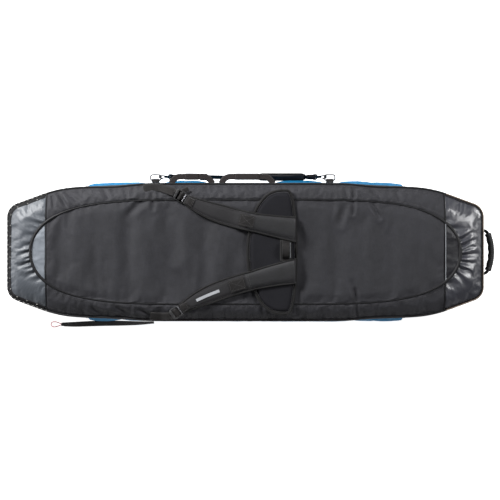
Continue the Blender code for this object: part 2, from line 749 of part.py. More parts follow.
# ---- Carry strap ---------------------------------------------------------------------------------------------------------------
def strap_axes(x):
    """Local axes of the hanging strap at a place along it: x along, y out of its face, z up its width."""
    out = Vector((0, math.cos(STRAP_DROOP), -math.sin(STRAP_DROOP)))
    up = Vector((0, math.sin(STRAP_DROOP), math.cos(STRAP_DROOP)))
    return placed((x, RING_BAR_Y, RING_BAR_Z), (1, 0, 0), out, up)


def ring_tab(name, x, root):
    """The webbing tab that holds a ring: a folded loop round the ring's bar, sewn to the gusset."""
    axes = placed((x, RING_BAR_Y, RING_BAR_Z), (1, 0, 0), (0, 1, 0), (0, 0, 1))
    wide, outer, hole = 0.0115, 0.0046, 0.0026
    face = HALF_WIDTH + GUSSET_BULGE + 0.0006 - RING_BAR_Y
    loop = ((-wide, wide), (-outer, outer), (-outer, outer))
    tongue = ((-wide, wide), (face, -hole - 0.0006), (-0.016, 0.016))
    bore = ((-wide - 0.001, wide + 0.001), (-hole, hole), (-hole, hole))
    solid(name, *blocks([loop, tongue], [bore], axes), WEBBING_BLACK, root, bevel=0.0005)


def ring(name, x, strap):
    """A square-cornered D-ring; its bar turns in the tab."""
    axes = strap_axes(x)
    corner = 0.005
    corners = [(-RING_HALF, 0.0), (-RING_HALF, RING_DEPTH), (RING_HALF, RING_DEPTH), (RING_HALF, 0.0)]
    path = []
    for i, here in enumerate(corners):
        for point in rounded_corner(corners[i - 1], here, corners[(i + 1) % 4], corner):
            path.append(axes @ Vector((*point, 0.0)))
    solid(name, *ring_tube(path, RING_WIRE_R, axes), METAL, strap)


def rounded_corner(before, corner, after, radius, steps=3):
    arc = fillet(before, corner, after, radius)
    return [arc[round(i * (len(arc) - 1) / steps)] for i in range(steps + 1)]


def ring_tube(path, radius, axes, sides=8):
    """A closed round wire in the plane of two local axes."""
    normal = axes.to_3x3() @ Vector((0, 0, 1))
    rings = []
    for i, point in enumerate(path):
        along = (path[(i + 1) % len(path)] - path[i - 1]).normalized()
        side = along.cross(normal).normalized()
        turns = [2 * math.pi * j / sides for j in range(sides)]
        rings.append([point + radius * (math.cos(t) * side + math.sin(t) * normal) for t in turns])
    return loft(rings, True)


HOOK_HOLE_R = 0.0072
HOOK_RIM = 0.0042
HOOK_THICK = 0.0040
MOUTH_ANGLES = (200, 258)
GATE_ANGLES = (205, 252.5)


def hook_points(sign):
    """A flat snap hook in its own plane, as one outline that runs round the mouth: x along the strap, y up."""
    outer_r = HOOK_HOLE_R + HOOK_RIM
    mouth_low, mouth_high = (math.radians(a) for a in MOUTH_ANGLES)
    outer = [mouth_high + (2 * math.pi - (mouth_high - mouth_low)) * i / 14 for i in range(15)]
    points = [(outer_r * math.cos(a), outer_r * math.sin(a)) for a in outer[:9]]
    points += [(-outer_r - 0.006, 0.0060), (-outer_r - 0.010, WEBBING / 2 + 0.0045)]
    points += [(-outer_r - 0.020, WEBBING / 2 + 0.0045), (-outer_r - 0.020, -WEBBING / 2 - 0.0045)]
    points += [(-outer_r - 0.010, -WEBBING / 2 - 0.0045), (-outer_r - 0.006, -0.0060)]
    points += [(outer_r * math.cos(mouth_low), outer_r * math.sin(mouth_low))]
    points += [(HOOK_HOLE_R * math.cos(a), HOOK_HOLE_R * math.sin(a)) for a in reversed(outer)]
    return [(sign * x, y) for x, y in points]


def snap_hook(name, x, sign, strap):
    """sign +1: the ring is on the +X side of the hook."""
    frame = strap_axes(hook_x(x, sign)) @ Matrix.Translation((0, STRAP_OUT, 0))
    axes = frame @ placed((0, 0, 0), (1, 0, 0), (0, 0, 1), (0, -1, 0))
    verts, faces = prism(hook_points(sign), -HOOK_THICK / 2, HOOK_THICK / 2, axes)
    made = solid(name, verts, faces, METAL, strap)
    outer_r = HOOK_HOLE_R + HOOK_RIM
    slot_x = [-outer_r - 0.0175, -outer_r - 0.0125]
    span = sorted(sign * v for v in slot_x)
    half = WEBBING / 2 + 0.001
    cutter = blocks([(tuple(span), (-half, half), (-HOOK_THICK, HOOK_THICK))], (), axes)
    tool = solid(f"cutter_{name}", *cutter, METAL, strap)
    tool.hide_render = True
    tool.display_type = "WIRE"
    cut = made.modifiers.new("webbing_slot", "BOOLEAN")
    cut.operation = "DIFFERENCE"
    cut.solver = "EXACT"
    cut.object = tool


def hook_x(ring_x, sign):
    """Where the hook's round hole is centred, so that the ring's side wire runs through it."""
    return ring_x - sign * (RING_HALF + HOOK_HOLE_R - RING_WIRE_R - 0.0012)


def gate_ends(sign):
    """Both ends of the gate in the hook's own plane, the pinned one first."""
    mean_r = HOOK_HOLE_R + HOOK_RIM / 2
    turns = [math.radians(a) for a in GATE_ANGLES]
    return [Vector((sign * mean_r * math.cos(t), 0, mean_r * math.sin(t))) for t in turns]


def gate_axis(ring_x, sign):
    """The gate's pin, at the strap end of the hook's mouth."""
    start, end = gate_ends(sign)
    frame = strap_axes(hook_x(ring_x, sign)) @ Matrix.Translation((0, STRAP_OUT, 0))
    return frame @ (start + (end - start).normalized() * 0.0010)


def gate(name, ring_x, sign, body):
    """The sprung bar that closes the hook's mouth."""
    frame = strap_axes(hook_x(ring_x, sign)) @ Matrix.Translation((0, STRAP_OUT, 0))
    start, end = gate_ends(sign)
    along = (end - start).normalized()
    across = Vector((0, 1, 0))
    axes = frame @ placed(start, along, across, along.cross(across))
    box = ((0.0, (end - start).length), (-0.0016, 0.0016), (-0.0009, 0.0009))
    solid(name, *blocks([box], (), axes), METAL, body)


def carry_webbing(strap):
    """One straight run of webbing on edge, between the two hooks' slots."""
    slot = HOOK_HOLE_R + HOOK_RIM + 0.0200 + 0.0008
    start = hook_x(RING_NOSE_X, -1) + slot
    end = hook_x(RING_TAIL_X, 1) - slot
    axes = strap_axes(0.0)
    half = WEBBING / 2
    box = ((start, end), (STRAP_OUT - 0.0009, STRAP_OUT + 0.0009), (-half, half))
    solid("carry_webbing", *blocks([box], (), axes), WEBBING_BLACK, strap)


def carry_pad(body):
    """A slide-on shoulder pad with a sleeve for the webbing."""
    axes = strap_axes(CARRY_PAD_X) @ Matrix.Translation((0, STRAP_OUT, 0))
    half, height, thick, corner = CARRY_PAD_LENGTH / 2, CARRY_PAD_WIDTH / 2, CARRY_PAD_THICK / 2, 0.010
    ends = [(-half, height - corner), (-half + corner, height), (half - corner, height), (half, height - corner)]
    rings = []
    for x, h in ends:
        outer = [axes @ Vector((x, y, z)) for y, z in clipped_box(thick, h, 0.0030)]
        inner = [axes @ Vector((x, y, z)) for y, z in clipped_box(0.0017, WEBBING / 2 + 0.0015, 0.0005)]
        rings.append((outer, inner))
    verts, faces = sleeve_solid(rings)
    solid("carry_pad", verts, faces, PAD_CLOTH, body)


def clipped_box(half_u, half_v, corner):
    """A rectangle's eight points, with its corners cut off."""
    u, v = half_u - corner, half_v - corner
    return [(-u, -half_v), (u, -half_v), (half_u, -v), (half_u, v), (u, half_v), (-u, half_v), (-half_u, v), (-half_u, -v)]


def sleeve_solid(rings):
    """A tube with an outer and an inner skin, from pairs of rings with equal point counts."""
    count = len(rings[0][0])
    verts = [p for outer, inner in rings for p in (*outer, *inner)]
    faces = []
    for i in range(len(rings) - 1):
        a, b = 2 * count * i, 2 * count * (i + 1)
        for j in range(count):
            k = (j + 1) % count
            faces.append((a + j, a + k, b + k, b + j))
            faces.append((a + count + j, b + count + j, b + count + k, a + count + k))
    for base in (0, 2 * count * (len(rings) - 1)):
        for j in range(count):
            k = (j + 1) % count
            faces.append((base + j, base + k, base + count + k, base + count + j))
    return verts, faces


def triglide(body):
    """A slider for the strap's length: its middle bar is in front of the webbing, its end bars behind."""
    axes = strap_axes(TRIGLIDE_X) @ Matrix.Translation((0, STRAP_OUT, 0))
    half_x, half_z, rail = 0.012, WEBBING / 2 + 0.0045, WEBBING / 2 + 0.0010
    front, back = (0.0014, 0.0036), (-0.0036, -0.0014)
    boxes = [
        ((-half_x, half_x), (-0.0036, 0.0036), (rail, half_z)),
        ((-half_x, half_x), (-0.0036, 0.0036), (-half_z, -rail)),
        ((-0.0022, 0.0022), front, (-rail, rail)),
        ((-half_x, -half_x + 0.0036), back, (-rail, rail)),
        ((half_x - 0.0036, half_x), back, (-rail, rail)),
    ]
    solid("triglide", *blocks(boxes, (), axes), PLASTIC, body)


def carry_strap(root, strap, parts):
    for end, x, sign in (("nose", RING_NOSE_X, -1), ("tail", RING_TAIL_X, 1)):
        ring_tab(f"ring_tab_{end}", x, root)
        ring(f"ring_{end}", x, strap)
        snap_hook(f"snap_hook_{end}", x, sign, strap)
        gate(f"hook_gate_{end}", x, sign, parts[f"gate_{end}"])
    carry_webbing(strap)
    carry_pad(parts["pad"])
    triglide(parts["triglide"])


# ---- Grab handle ---------------------------------------------------------------------------------------------------------------
def grip_x(y):
    """The grip bows outwards in the middle."""
    return GRIP_X - GRIP_BOW * (y / GRAB_HALF) ** 2


def grab_handle(handle):
    """A webbing bail with a moulded grip, on the tail end."""
    steps = 10
    reach = GRAB_HALF - 0.008
    bowed = [Vector((grip_x(y), y, GRAB_Z)) for y in [reach * (2 * i / steps - 1) for i in range(steps + 1)]]
    ends = [Vector((GRAB_PIVOT_X, sign * GRAB_HALF, GRAB_Z)) for sign in (-1, 1)]
    path = [ends[0], *bowed, ends[1]]
    stations = []
    for i, point in enumerate(path):
        along = (path[min(i + 1, len(path) - 1)] - path[max(i - 1, 0)]).normalized()
        normal = along.cross(Vector((0, 0, 1)))
        stations.append((point, (0, 0, 1), normal, 0.014, 0.0022))
    solid("grab_webbing", *ribbon(stations), WEBBING_BLACK, handle)
    solid("grab_grip", *grip(GRAB_HALF - 0.012), PLASTIC, handle)


def grip(half, steps=10, sides=8):
    """A bowed round grip with a flat slot through it for the webbing."""
    slit, sleeve = 0.0019, 0.0077
    rings = []
    for i in range(steps + 1):
        y = half * (2 * i / steps - 1)
        radius = GRIP_R * (0.88 if i in (0, steps) else 1.0)
        centre = Vector((grip_x(y), y, GRAB_Z))
        side = Vector((1, 2 * GRIP_BOW * y / GRAB_HALF**2, 0)).normalized()
        outer, inner = [], []
        for j in range(sides):
            angle = 2 * math.pi * (j + 0.5) / sides
            c, s = math.cos(angle), math.sin(angle)
            outer.append(centre + side * (radius * c) + Vector((0, 0, radius * s)))
            across = side * math.copysign(slit, c)
            tall = sleeve * s / math.sin(2 * math.pi * 1.5 / sides)
            inner.append(centre + across + Vector((0, 0, tall)))
        rings.append((outer, inner))
    return sleeve_solid(rings)


# ---- Zip sliders ---------------------------------------------------------------------------------------------------------------
PLATE_THICK = 0.0013
SLIDER_CLEAR = 0.0005
LUG_AXIS = 0.0022  # from the slider's outer plate to the pull's pin


def slider_faces():
    """x of the slider's outer and inner plate faces, from the bag's centre."""
    coil_out = HALF_LENGTH + COIL_OFFSET
    coil_in = coil_out - COIL_THICK
    return coil_out + SLIDER_CLEAR, coil_in - SLIDER_CLEAR


def zip_slider(name, y, body):
    """An H in section: two plates joined by a web that runs between the two coils, and an arch for the pull."""
    outer, inner = slider_faces()
    axes = Matrix.Translation((0, y, ZIP_Z))
    half, height, web = SLIDER_LENGTH / 2, SLIDER_HEIGHT / 2, COIL_NEAR - 0.0003
    top = outer + PLATE_THICK
    crown = top + LUG_AXIS + 0.0024
    boxes = [
        ((outer, top), (-half, half), (-height, height)),
        ((inner - PLATE_THICK, inner), (-half, half), (-height, height)),
        ((inner, outer), (-0.0030, 0.0030), (-web, web)),
        ((top, crown), (-0.0042, -0.0024), (-0.0014, 0.0014)),
        ((top, crown), (0.0024, 0.0042), (-0.0014, 0.0014)),
        ((crown - 0.0012, crown), (-0.0024, 0.0024), (-0.0014, 0.0014)),
    ]
    solid(name, *blocks(boxes, (), axes), METAL, body)


def pull_axis(y):
    outer, _ = slider_faces()
    return Vector((outer + PLATE_THICK + LUG_AXIS, y, ZIP_Z))


def zip_pull(name, y, way, body):
    """A pull tab: a frame whose near bar turns in the slider's arch. way is the side it lies on, +1 or -1 along Y."""
    axis = pull_axis(y)
    axes = placed(axis, (0, way, 0), (0, 0, 1), (way, 0, 0))
    bar, rail, inner = 0.0008, 0.0040, 0.0024
    outer = [(-bar, -rail), (0.020, -rail), (0.024, -0.0025), (0.024, 0.0025), (0.020, rail), (-bar, rail)]
    hole = [(bar, -inner), (0.0065, -inner), (0.0075, -0.0012), (0.0075, 0.0012), (0.0065, inner), (bar, inner)]
    solid(name, *ring_plate(outer, hole, -0.0008, 0.0008, axes), METAL, body)


# ---- Tail strap, knot and cord loop -----------------------------------------------------------------------------------------
def tail_strap(root):
    """Webbing sewn to the hinge side's gusset, falling to the ground and lying along the bag.
    Each row is (x, y, height of its middle, roll from upright in degrees)."""
    end_x, end_y = TAIL_STRAP_END
    rows = [
        (-0.285, -HALF_WIDTH - GUSSET_BULGE - 0.0032, 0.047, 4),
        (-0.325, -0.2192, 0.040, 12),
        (-0.365, -0.2205, 0.030, 20),
        (-0.405, -0.2208, 0.0185, 26),
        (-0.450, -0.2220, 0.0130, 24),
        (-0.495, -0.2245, 0.0130, 14),
        (-0.535, end_y, 0.0130, 9),
        (end_x, end_y, 0.0130, 6),
    ]
    stations = []
    for x, y, z, roll in rows:
        tilt = math.radians(roll)
        across = Vector((0, math.sin(tilt), math.cos(tilt)))
        normal = Vector((0, -math.cos(tilt), math.sin(tilt)))
        stations.append(((x, y, z), across, normal, WEBBING, WEBBING_THICK))
    solid("tail_strap", *ribbon(stations), WEBBING_BLACK, root)
    knot_x = end_x - 0.0008
    knot = ((knot_x - 0.013, knot_x), (end_y - 0.0055, end_y + 0.0055), (0.0004, 0.0110))
    solid("tail_knot", *blocks([knot]), PLASTIC, root, bevel=0.002)
    pull_loop(knot_x - 0.013 - 0.0010, end_y, root)


def pull_loop(start_x, y, root):
    """A teardrop of thin cord lying flat, open where it enters the knot."""
    steps = 22
    path = []
    for i in range(steps + 1):
        angle = 2 * math.pi * i / steps
        along = LOOP_LENGTH * math.sin(angle / 2)
        side = LOOP_WIDTH / 2 * math.sin(angle) + 0.0017 * math.cos(angle / 2)
        path.append((start_x - along, y + side, LOOP_CORD_R + 0.0004))
    cord("pull_loop", path, LOOP_CORD_R, CORD_RED, root)


# ---- Tie-down inside the front shell -----------------------------------------------------------------------------------------
TIE_X = -0.10
TIE_FLOOR_Z = PANEL_THICK + GAP + LINING_THICK + GAP
TIE_REACH = 0.190


def tie_down(root, plug):
    """A strap across the lining with a side-release buckle. The plug slides out along -Y, over its strap."""
    half = WEBBING / 2
    strap_z = (TIE_FLOOR_Z, TIE_FLOOR_Z + 0.0016)
    spans = {"tie_strap_hinge_side": (-TIE_REACH, -0.003), "tie_strap_handle_side": (0.003, TIE_REACH)}
    for name, span in spans.items():
        box = ((TIE_X - half, TIE_X + half), span, strap_z)
        solid(name, *blocks([box]), WEBBING_BLACK, root)
    low = strap_z[1] + GAP
    wide, tall = 0.0165, 0.0085
    axes = Matrix.Translation((TIE_X, 0, low))
    socket = ((-wide, wide), (0.000, 0.030), (0.0, tall))
    cavity = ((-wide + 0.0020, wide - 0.0020), (-0.001, 0.022), (0.0020, tall - 0.0020))
    windows = ((-wide - 0.001, wide + 0.001), (0.011, 0.019), (0.0020, tall - 0.0020))
    solid("tie_socket", *blocks([socket], [cavity, windows], axes), PLASTIC, root, bevel=0.0005)
    base = ((-wide, wide), (-0.020, -0.0005), (0.0, tall))
    slot = ((-0.0135, 0.0135), (-0.0155, -0.0110), (-0.001, tall + 0.001))
    reach = [
        ((-0.0016, 0.0016), (-0.0005, 0.0195), (0.0026, tall - 0.0026)),
        ((-wide + 0.0026, -wide + 0.0052), (-0.0005, 0.0195), (0.0026, tall - 0.0026)),
        ((wide - 0.0052, wide - 0.0026), (-0.0005, 0.0195), (0.0026, tall - 0.0026)),
    ]
    solid("tie_plug", *blocks([base, *reach], [slot], axes), PLASTIC, plug, bevel=0.0005)


# ---- Assembly ------------------------------------------------------------------------------------------------------------------
def main():
    clear_scene()
    root = pivot("front_shell", (0, 0, 0))
    front_shell(root)
    lid = pivot("back_shell", (0, HINGE_Y, ZIP_Z), root)
    back_shell(lid)

    curves = {"upper": UPPER_STRAP, "lower": LOWER_STRAP}
    strap_pivot_z = STRAP_ON_PAD_Z + STRAP_THICK / 2
    straps = {s: pivot(f"{s}_strap", (YOKE_X, c[0][1], strap_pivot_z), lid) for s, c in curves.items()}
    buckles = {s: pivot(f"{s}_buckle", ladder_axis(c), straps[s]) for s, c in curves.items()}
    harness(lid, straps, buckles)
    for end, span in CARRY_HANDLES.items():
        place = (sum(span) / 2, CARRY_PIVOT_Y, CARRY_PIVOT_Z)
        carry_handle(f"carry_handle_{end}", span, pivot(f"{end}_handle", place, lid))

    strap = pivot("carry_strap", (0, RING_BAR_Y, RING_BAR_Z), root)
    parts = {
        "gate_nose": pivot("gate_nose", gate_axis(RING_NOSE_X, -1), strap),
        "gate_tail": pivot("gate_tail", gate_axis(RING_TAIL_X, 1), strap),
        "pad": pivot("pad", (CARRY_PAD_X, RING_BAR_Y, RING_BAR_Z), strap),
        "triglide": pivot("slider", (TRIGLIDE_X, RING_BAR_Y, RING_BAR_Z), strap),
    }
    carry_strap(root, strap, parts)
    grab_handle(pivot("grab_handle", (GRAB_PIVOT_X, 0, GRAB_Z), root))
    for letter, y, way in (("a", SLIDER_A_Y, -1), ("b", SLIDER_B_Y, 1)):
        slider = pivot(f"slider_{letter}", (HALF_LENGTH, y, ZIP_Z), root)
        zip_slider(f"zip_slider_{letter}", y, slider)
        zip_pull(f"zip_pull_{letter}", y, way, pivot(f"pull_{letter}", pull_axis(y), slider))
    tail_strap(root)
    tie_down(root, pivot("tie_release", (TIE_X, 0, TIE_FLOOR_Z), root))


main()
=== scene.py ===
"""Looks for a padded kiteboard travel bag with a backpack harness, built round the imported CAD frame.

Frame: +X towards the tail end with the grab handle, +Y towards the side with the carry handles, +Z out of the
back panel, metres. Soft shells are grids of points: they are draped by a short cloth simulation while their
seams are pinned, and are then given their thickness. Numbers that shapes need are the CAD source's own.
"""

import json
import math

import bmesh
import bpy
import numpy as np
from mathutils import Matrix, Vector, noise

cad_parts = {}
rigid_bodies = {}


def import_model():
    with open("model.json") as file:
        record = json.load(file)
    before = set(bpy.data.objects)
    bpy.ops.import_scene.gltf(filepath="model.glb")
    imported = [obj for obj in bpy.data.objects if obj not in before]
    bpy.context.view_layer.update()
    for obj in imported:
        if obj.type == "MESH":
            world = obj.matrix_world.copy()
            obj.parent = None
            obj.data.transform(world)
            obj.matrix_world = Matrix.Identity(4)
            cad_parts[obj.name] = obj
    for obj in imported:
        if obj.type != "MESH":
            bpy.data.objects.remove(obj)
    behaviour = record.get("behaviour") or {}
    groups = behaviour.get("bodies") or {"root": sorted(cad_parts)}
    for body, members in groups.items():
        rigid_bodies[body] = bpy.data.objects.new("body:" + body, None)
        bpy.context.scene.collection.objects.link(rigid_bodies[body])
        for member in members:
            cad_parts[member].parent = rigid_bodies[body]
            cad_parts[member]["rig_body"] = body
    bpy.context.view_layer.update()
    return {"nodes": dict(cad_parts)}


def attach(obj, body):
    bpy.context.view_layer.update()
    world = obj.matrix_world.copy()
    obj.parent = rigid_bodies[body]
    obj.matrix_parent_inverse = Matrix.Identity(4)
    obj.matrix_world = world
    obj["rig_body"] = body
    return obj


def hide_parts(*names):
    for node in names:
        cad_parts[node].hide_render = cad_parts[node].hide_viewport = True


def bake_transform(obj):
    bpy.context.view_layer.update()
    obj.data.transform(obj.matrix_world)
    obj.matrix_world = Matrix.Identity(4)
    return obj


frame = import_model()
NODES = frame["nodes"]

# ---- Numbers of the CAD source ----
HALF_LENGTH, HALF_WIDTH = 0.7285, 0.2095
BENDS = [((0.300, 0.2095), 2.0), ((0.460, 0.2015), 1.0), ((0.575, 0.1925), 0.35), ((0.7285, 0.1365), 0.042)]
OVAL_A, OVAL_B, OVAL_POWERS = 0.656, 0.159, (5.0, 2.1)
CROSS_X, BLUE_X, WEB_X = 0.609, 0.487, 0.520
TOP_Z, EDGE_Z = 0.150, 0.124
STRAP_TALL = 0.010
UPPER = ((0.154, 0.068), (0.050, 0.085), (-0.088, 0.105), (-0.183, 0.1615))
LOWER = ((0.154, -0.058), (0.037, -0.0775), (-0.112, -0.1175), (-0.196, -0.1745))
CURVES = {"upper": UPPER, "lower": LOWER}
ANCHORS = {"upper": (-0.312, 0.1945), "lower": (-0.290, -0.1945)}
RING_Y, RING_Z, STRAP_OUT, DROOP = 0.2230, 0.052, 0.0115, math.radians(25)
GRAB_X, GRAB_HALF, GRAB_Z, GRIP_X, GRIP_BOW = HALF_LENGTH + 0.0082, 0.070, 0.050, HALF_LENGTH + 0.0355, 0.0160


UP = np.array((0.0, 0.0, 1.0))
DOWN = (0, 0, -1)
ENDS = (("nose", -1), ("tail", 1))
SIDES = (("handle_side", 1), ("hinge_side", -1))

# ---- Numbers of the looks ----
DRAPE_FRAMES, PAD_FRAMES, PAD_PRESSURE = 18, 20, 4.0
OVAL_POINTS = 1400
PUCKER_REACH = 0.016  # how far a seam's small gathers run into the cloth
CREASE_WIDE, CREASE_DEEP, CREASE_RIDGE = 0.75, 2.7, 1.25  # how the creases' list is scaled
PANEL_THICK, WALL_THICK = 0.0048, 0.0052
CENTRE_UNDER_Z = 0.1430
ZIP_LOW_Z, ZIP_TOP_Z = 0.0880, 0.1062
RINGS = {"nose": -0.279, "tail": 0.262}  # the carry strap's rings, along the bag
CARRY_ENDS = (-0.2268, 0.2098)  # where its webbing turns round the hooks' bars
PATCH_LIFT = 0.0004
HANDLE_WIDE = 0.0182


def put(name, data):
    """A new object in the scene."""
    made = bpy.data.objects.new(name, data)
    bpy.context.scene.collection.objects.link(made)
    return made


# ---- Camera ----
def camera():
    data = bpy.data.cameras.new("camera")
    data.sensor_width, data.lens = 36.0, 116.9
    made = put("camera", data)
    made.location = (0.0139, 0.0062, 5.1)
    bpy.context.scene.camera = made


camera()


# ---- Materials ----
def node(tree, kind, links=None, values=None, **props):
    made = tree.nodes.new("ShaderNode" + kind)
    for key, value in props.items():
        setattr(made, key, value)
    for key, value in (values or {}).items():
        made.inputs[key].default_value = value
    for key, source in (links or {}).items():
        tree.links.new(source, made.inputs[key])
    return made


def calc(tree, operation, *terms, clamp=False):
    made = node(tree, "Math", operation=operation, use_clamp=clamp)
    for i, term in enumerate(terms):
        if isinstance(term, (int, float)):
            made.inputs[i].default_value = term
        else:
            tree.links.new(term, made.inputs[i])
    return made.outputs[0]


def wave(tree, value, pitch):
    return calc(tree, "SINE", calc(tree, "MULTIPLY", value, 2 * math.pi / pitch))


def pattern_height(tree, kind, place, pitch):
    """The fine relief of a surface, about 0 to 1, from its own coordinates in metres."""
    if kind == "mesh":
        made = node(tree, "TexVoronoi", {"Vector": place}, {"Scale": 1 / pitch, "Randomness": 0.25})
        return calc(tree, "MULTIPLY", made.outputs["Distance"], 1.4, clamp=True)
    if kind == "grain":
        made = node(tree, "TexVoronoi", {"Vector": place}, {"Scale": 1 / pitch}, feature="SMOOTH_F1")
        return made.outputs["Distance"]
    parts = node(tree, "SeparateXYZ", {"Vector": place})
    u, v = parts.outputs["X"], parts.outputs["Y"]
    if kind == "weave":
        crossed = calc(tree, "MULTIPLY", wave(tree, u, pitch), wave(tree, v, pitch))
        return calc(tree, "MULTIPLY_ADD", crossed, 0.5, 0.5)
    if kind == "webbing":
        lean = calc(tree, "PINGPONG", v, pitch * 3)
        return calc(tree, "MULTIPLY_ADD", wave(tree, calc(tree, "ADD", u, lean), pitch), 0.5, 0.5)
    if kind == "ripstop":
        lines = [calc(tree, "POWER", calc(tree, "ABSOLUTE", wave(tree, c, pitch * 2)), 14.0) for c in (u, v)]
        fine = calc(tree, "MULTIPLY", wave(tree, u, pitch / 7), wave(tree, v, pitch / 7))
        return calc(tree, "MULTIPLY_ADD", fine, 0.12, calc(tree, "MAXIMUM", *lines))
    if kind == "braid":
        return calc(tree, "MULTIPLY_ADD", wave(tree, calc(tree, "ADD", u, v), pitch), 0.5, 0.5)
    raise ValueError(kind)


def paint(name, colour, rough, kind="weave", pitch=0.0012, depth=0.00025, spread=0.22, wear=0.0, shine=0.5,
          own=True, crinkle=0.0, metallic=0.0):
    """A material with its own relief, colour variation and roughness variation.

    own: its relief follows the piece's cloth coordinates, along a strap or a wall; otherwise the object's.
    crinkle: how high the small wrinkles are, in depths of the relief."""
    made = bpy.data.materials.new(name)
    made.use_nodes = True
    tree = made.node_tree
    shader = tree.nodes["Principled BSDF"]
    shader.inputs["Specular IOR Level"].default_value = shine
    shader.inputs["Metallic"].default_value = metallic
    space = node(tree, "TexCoord").outputs["Object"]
    place = node(tree, "Attribute", attribute_name="cloth").outputs["Vector"] if own else space
    relief = pattern_height(tree, kind, place, pitch)
    broad = node(tree, "TexNoise", {"Vector": space},
                 {"Scale": 7.0, "Detail": 3.0, "Roughness": 0.55}).outputs["Fac"]
    fine = node(tree, "TexNoise", {"Vector": space}, {"Scale": 420.0, "Detail": 2.0}).outputs["Fac"]
    mixed = calc(tree, "MULTIPLY_ADD", fine, 0.35, calc(tree, "MULTIPLY", broad, 0.65))
    if crinkle:
        threads = []
        for stretch in ((38.0, 420.0, 1.0), (420.0, 38.0, 1.0)):
            along = node(tree, "VectorMath", {0: place}, {1: stretch}, operation="MULTIPLY").outputs["Vector"]
            thread = node(tree, "TexNoise", {"Vector": along}, {"Scale": 1.0, "Detail": 2.0})
            threads.append(thread.outputs["Fac"])
        slub = calc(tree, "MULTIPLY", calc(tree, "ADD", *threads), 0.5)
        small = node(tree, "TexNoise", {"Vector": space},
                     {"Scale": 42.0, "Detail": 3.0, "Roughness": 0.6}).outputs["Fac"]
        mixed = calc(tree, "MULTIPLY_ADD", calc(tree, "ADD", slub, small), 0.30,
                     calc(tree, "MULTIPLY", mixed, 0.40))
    shade = calc(tree, "MULTIPLY_ADD", relief, 0.30, calc(tree, "MULTIPLY_ADD", mixed, 1.3, -0.30), clamp=True)
    ramp = node(tree, "ValToRGB", {"Fac": shade})
    ends = [tuple(min(1.0, c * (1 + k * spread)) for c in colour) for k in (-1, 1)]
    for stop, end in zip(ramp.color_ramp.elements, ends):
        stop.color = (*end, 1.0)
    ramp.color_ramp.elements[0].position, ramp.color_ramp.elements[1].position = 0.15, 0.85
    out = ramp.outputs["Color"]
    if wear:
        edge = node(tree, "NewGeometry").outputs["Pointiness"]
        edge = node(tree, "MapRange", {"Value": edge}, {"From Min": 0.52, "From Max": 0.62}).outputs["Result"]
        edge = calc(tree, "MULTIPLY", edge, calc(tree, "MULTIPLY", broad, wear), clamp=True)
        pale = tuple(min(1.0, c * 2.2 + 0.05) for c in colour)
        mix = node(tree, "Mix", {0: edge, 6: out}, {7: (*pale, 1.0)}, data_type="RGBA")
        out = mix.outputs[2]
    tree.links.new(out, shader.inputs["Base Color"])
    gloss = node(tree, "MapRange", {"Value": mixed}, {"To Min": rough - 0.07, "To Max": rough + 0.09})
    tree.links.new(gloss.outputs["Result"], shader.inputs["Roughness"])
    height = calc(tree, "MULTIPLY_ADD", fine, 0.35, relief)
    if crinkle:
        height = calc(tree, "MULTIPLY_ADD", small, crinkle, height)
    bump = node(tree, "Bump", {"Height": height}, {"Strength": 0.7, "Distance": depth})
    tree.links.new(bump.outputs["Normal"], shader.inputs["Normal"])
    return made


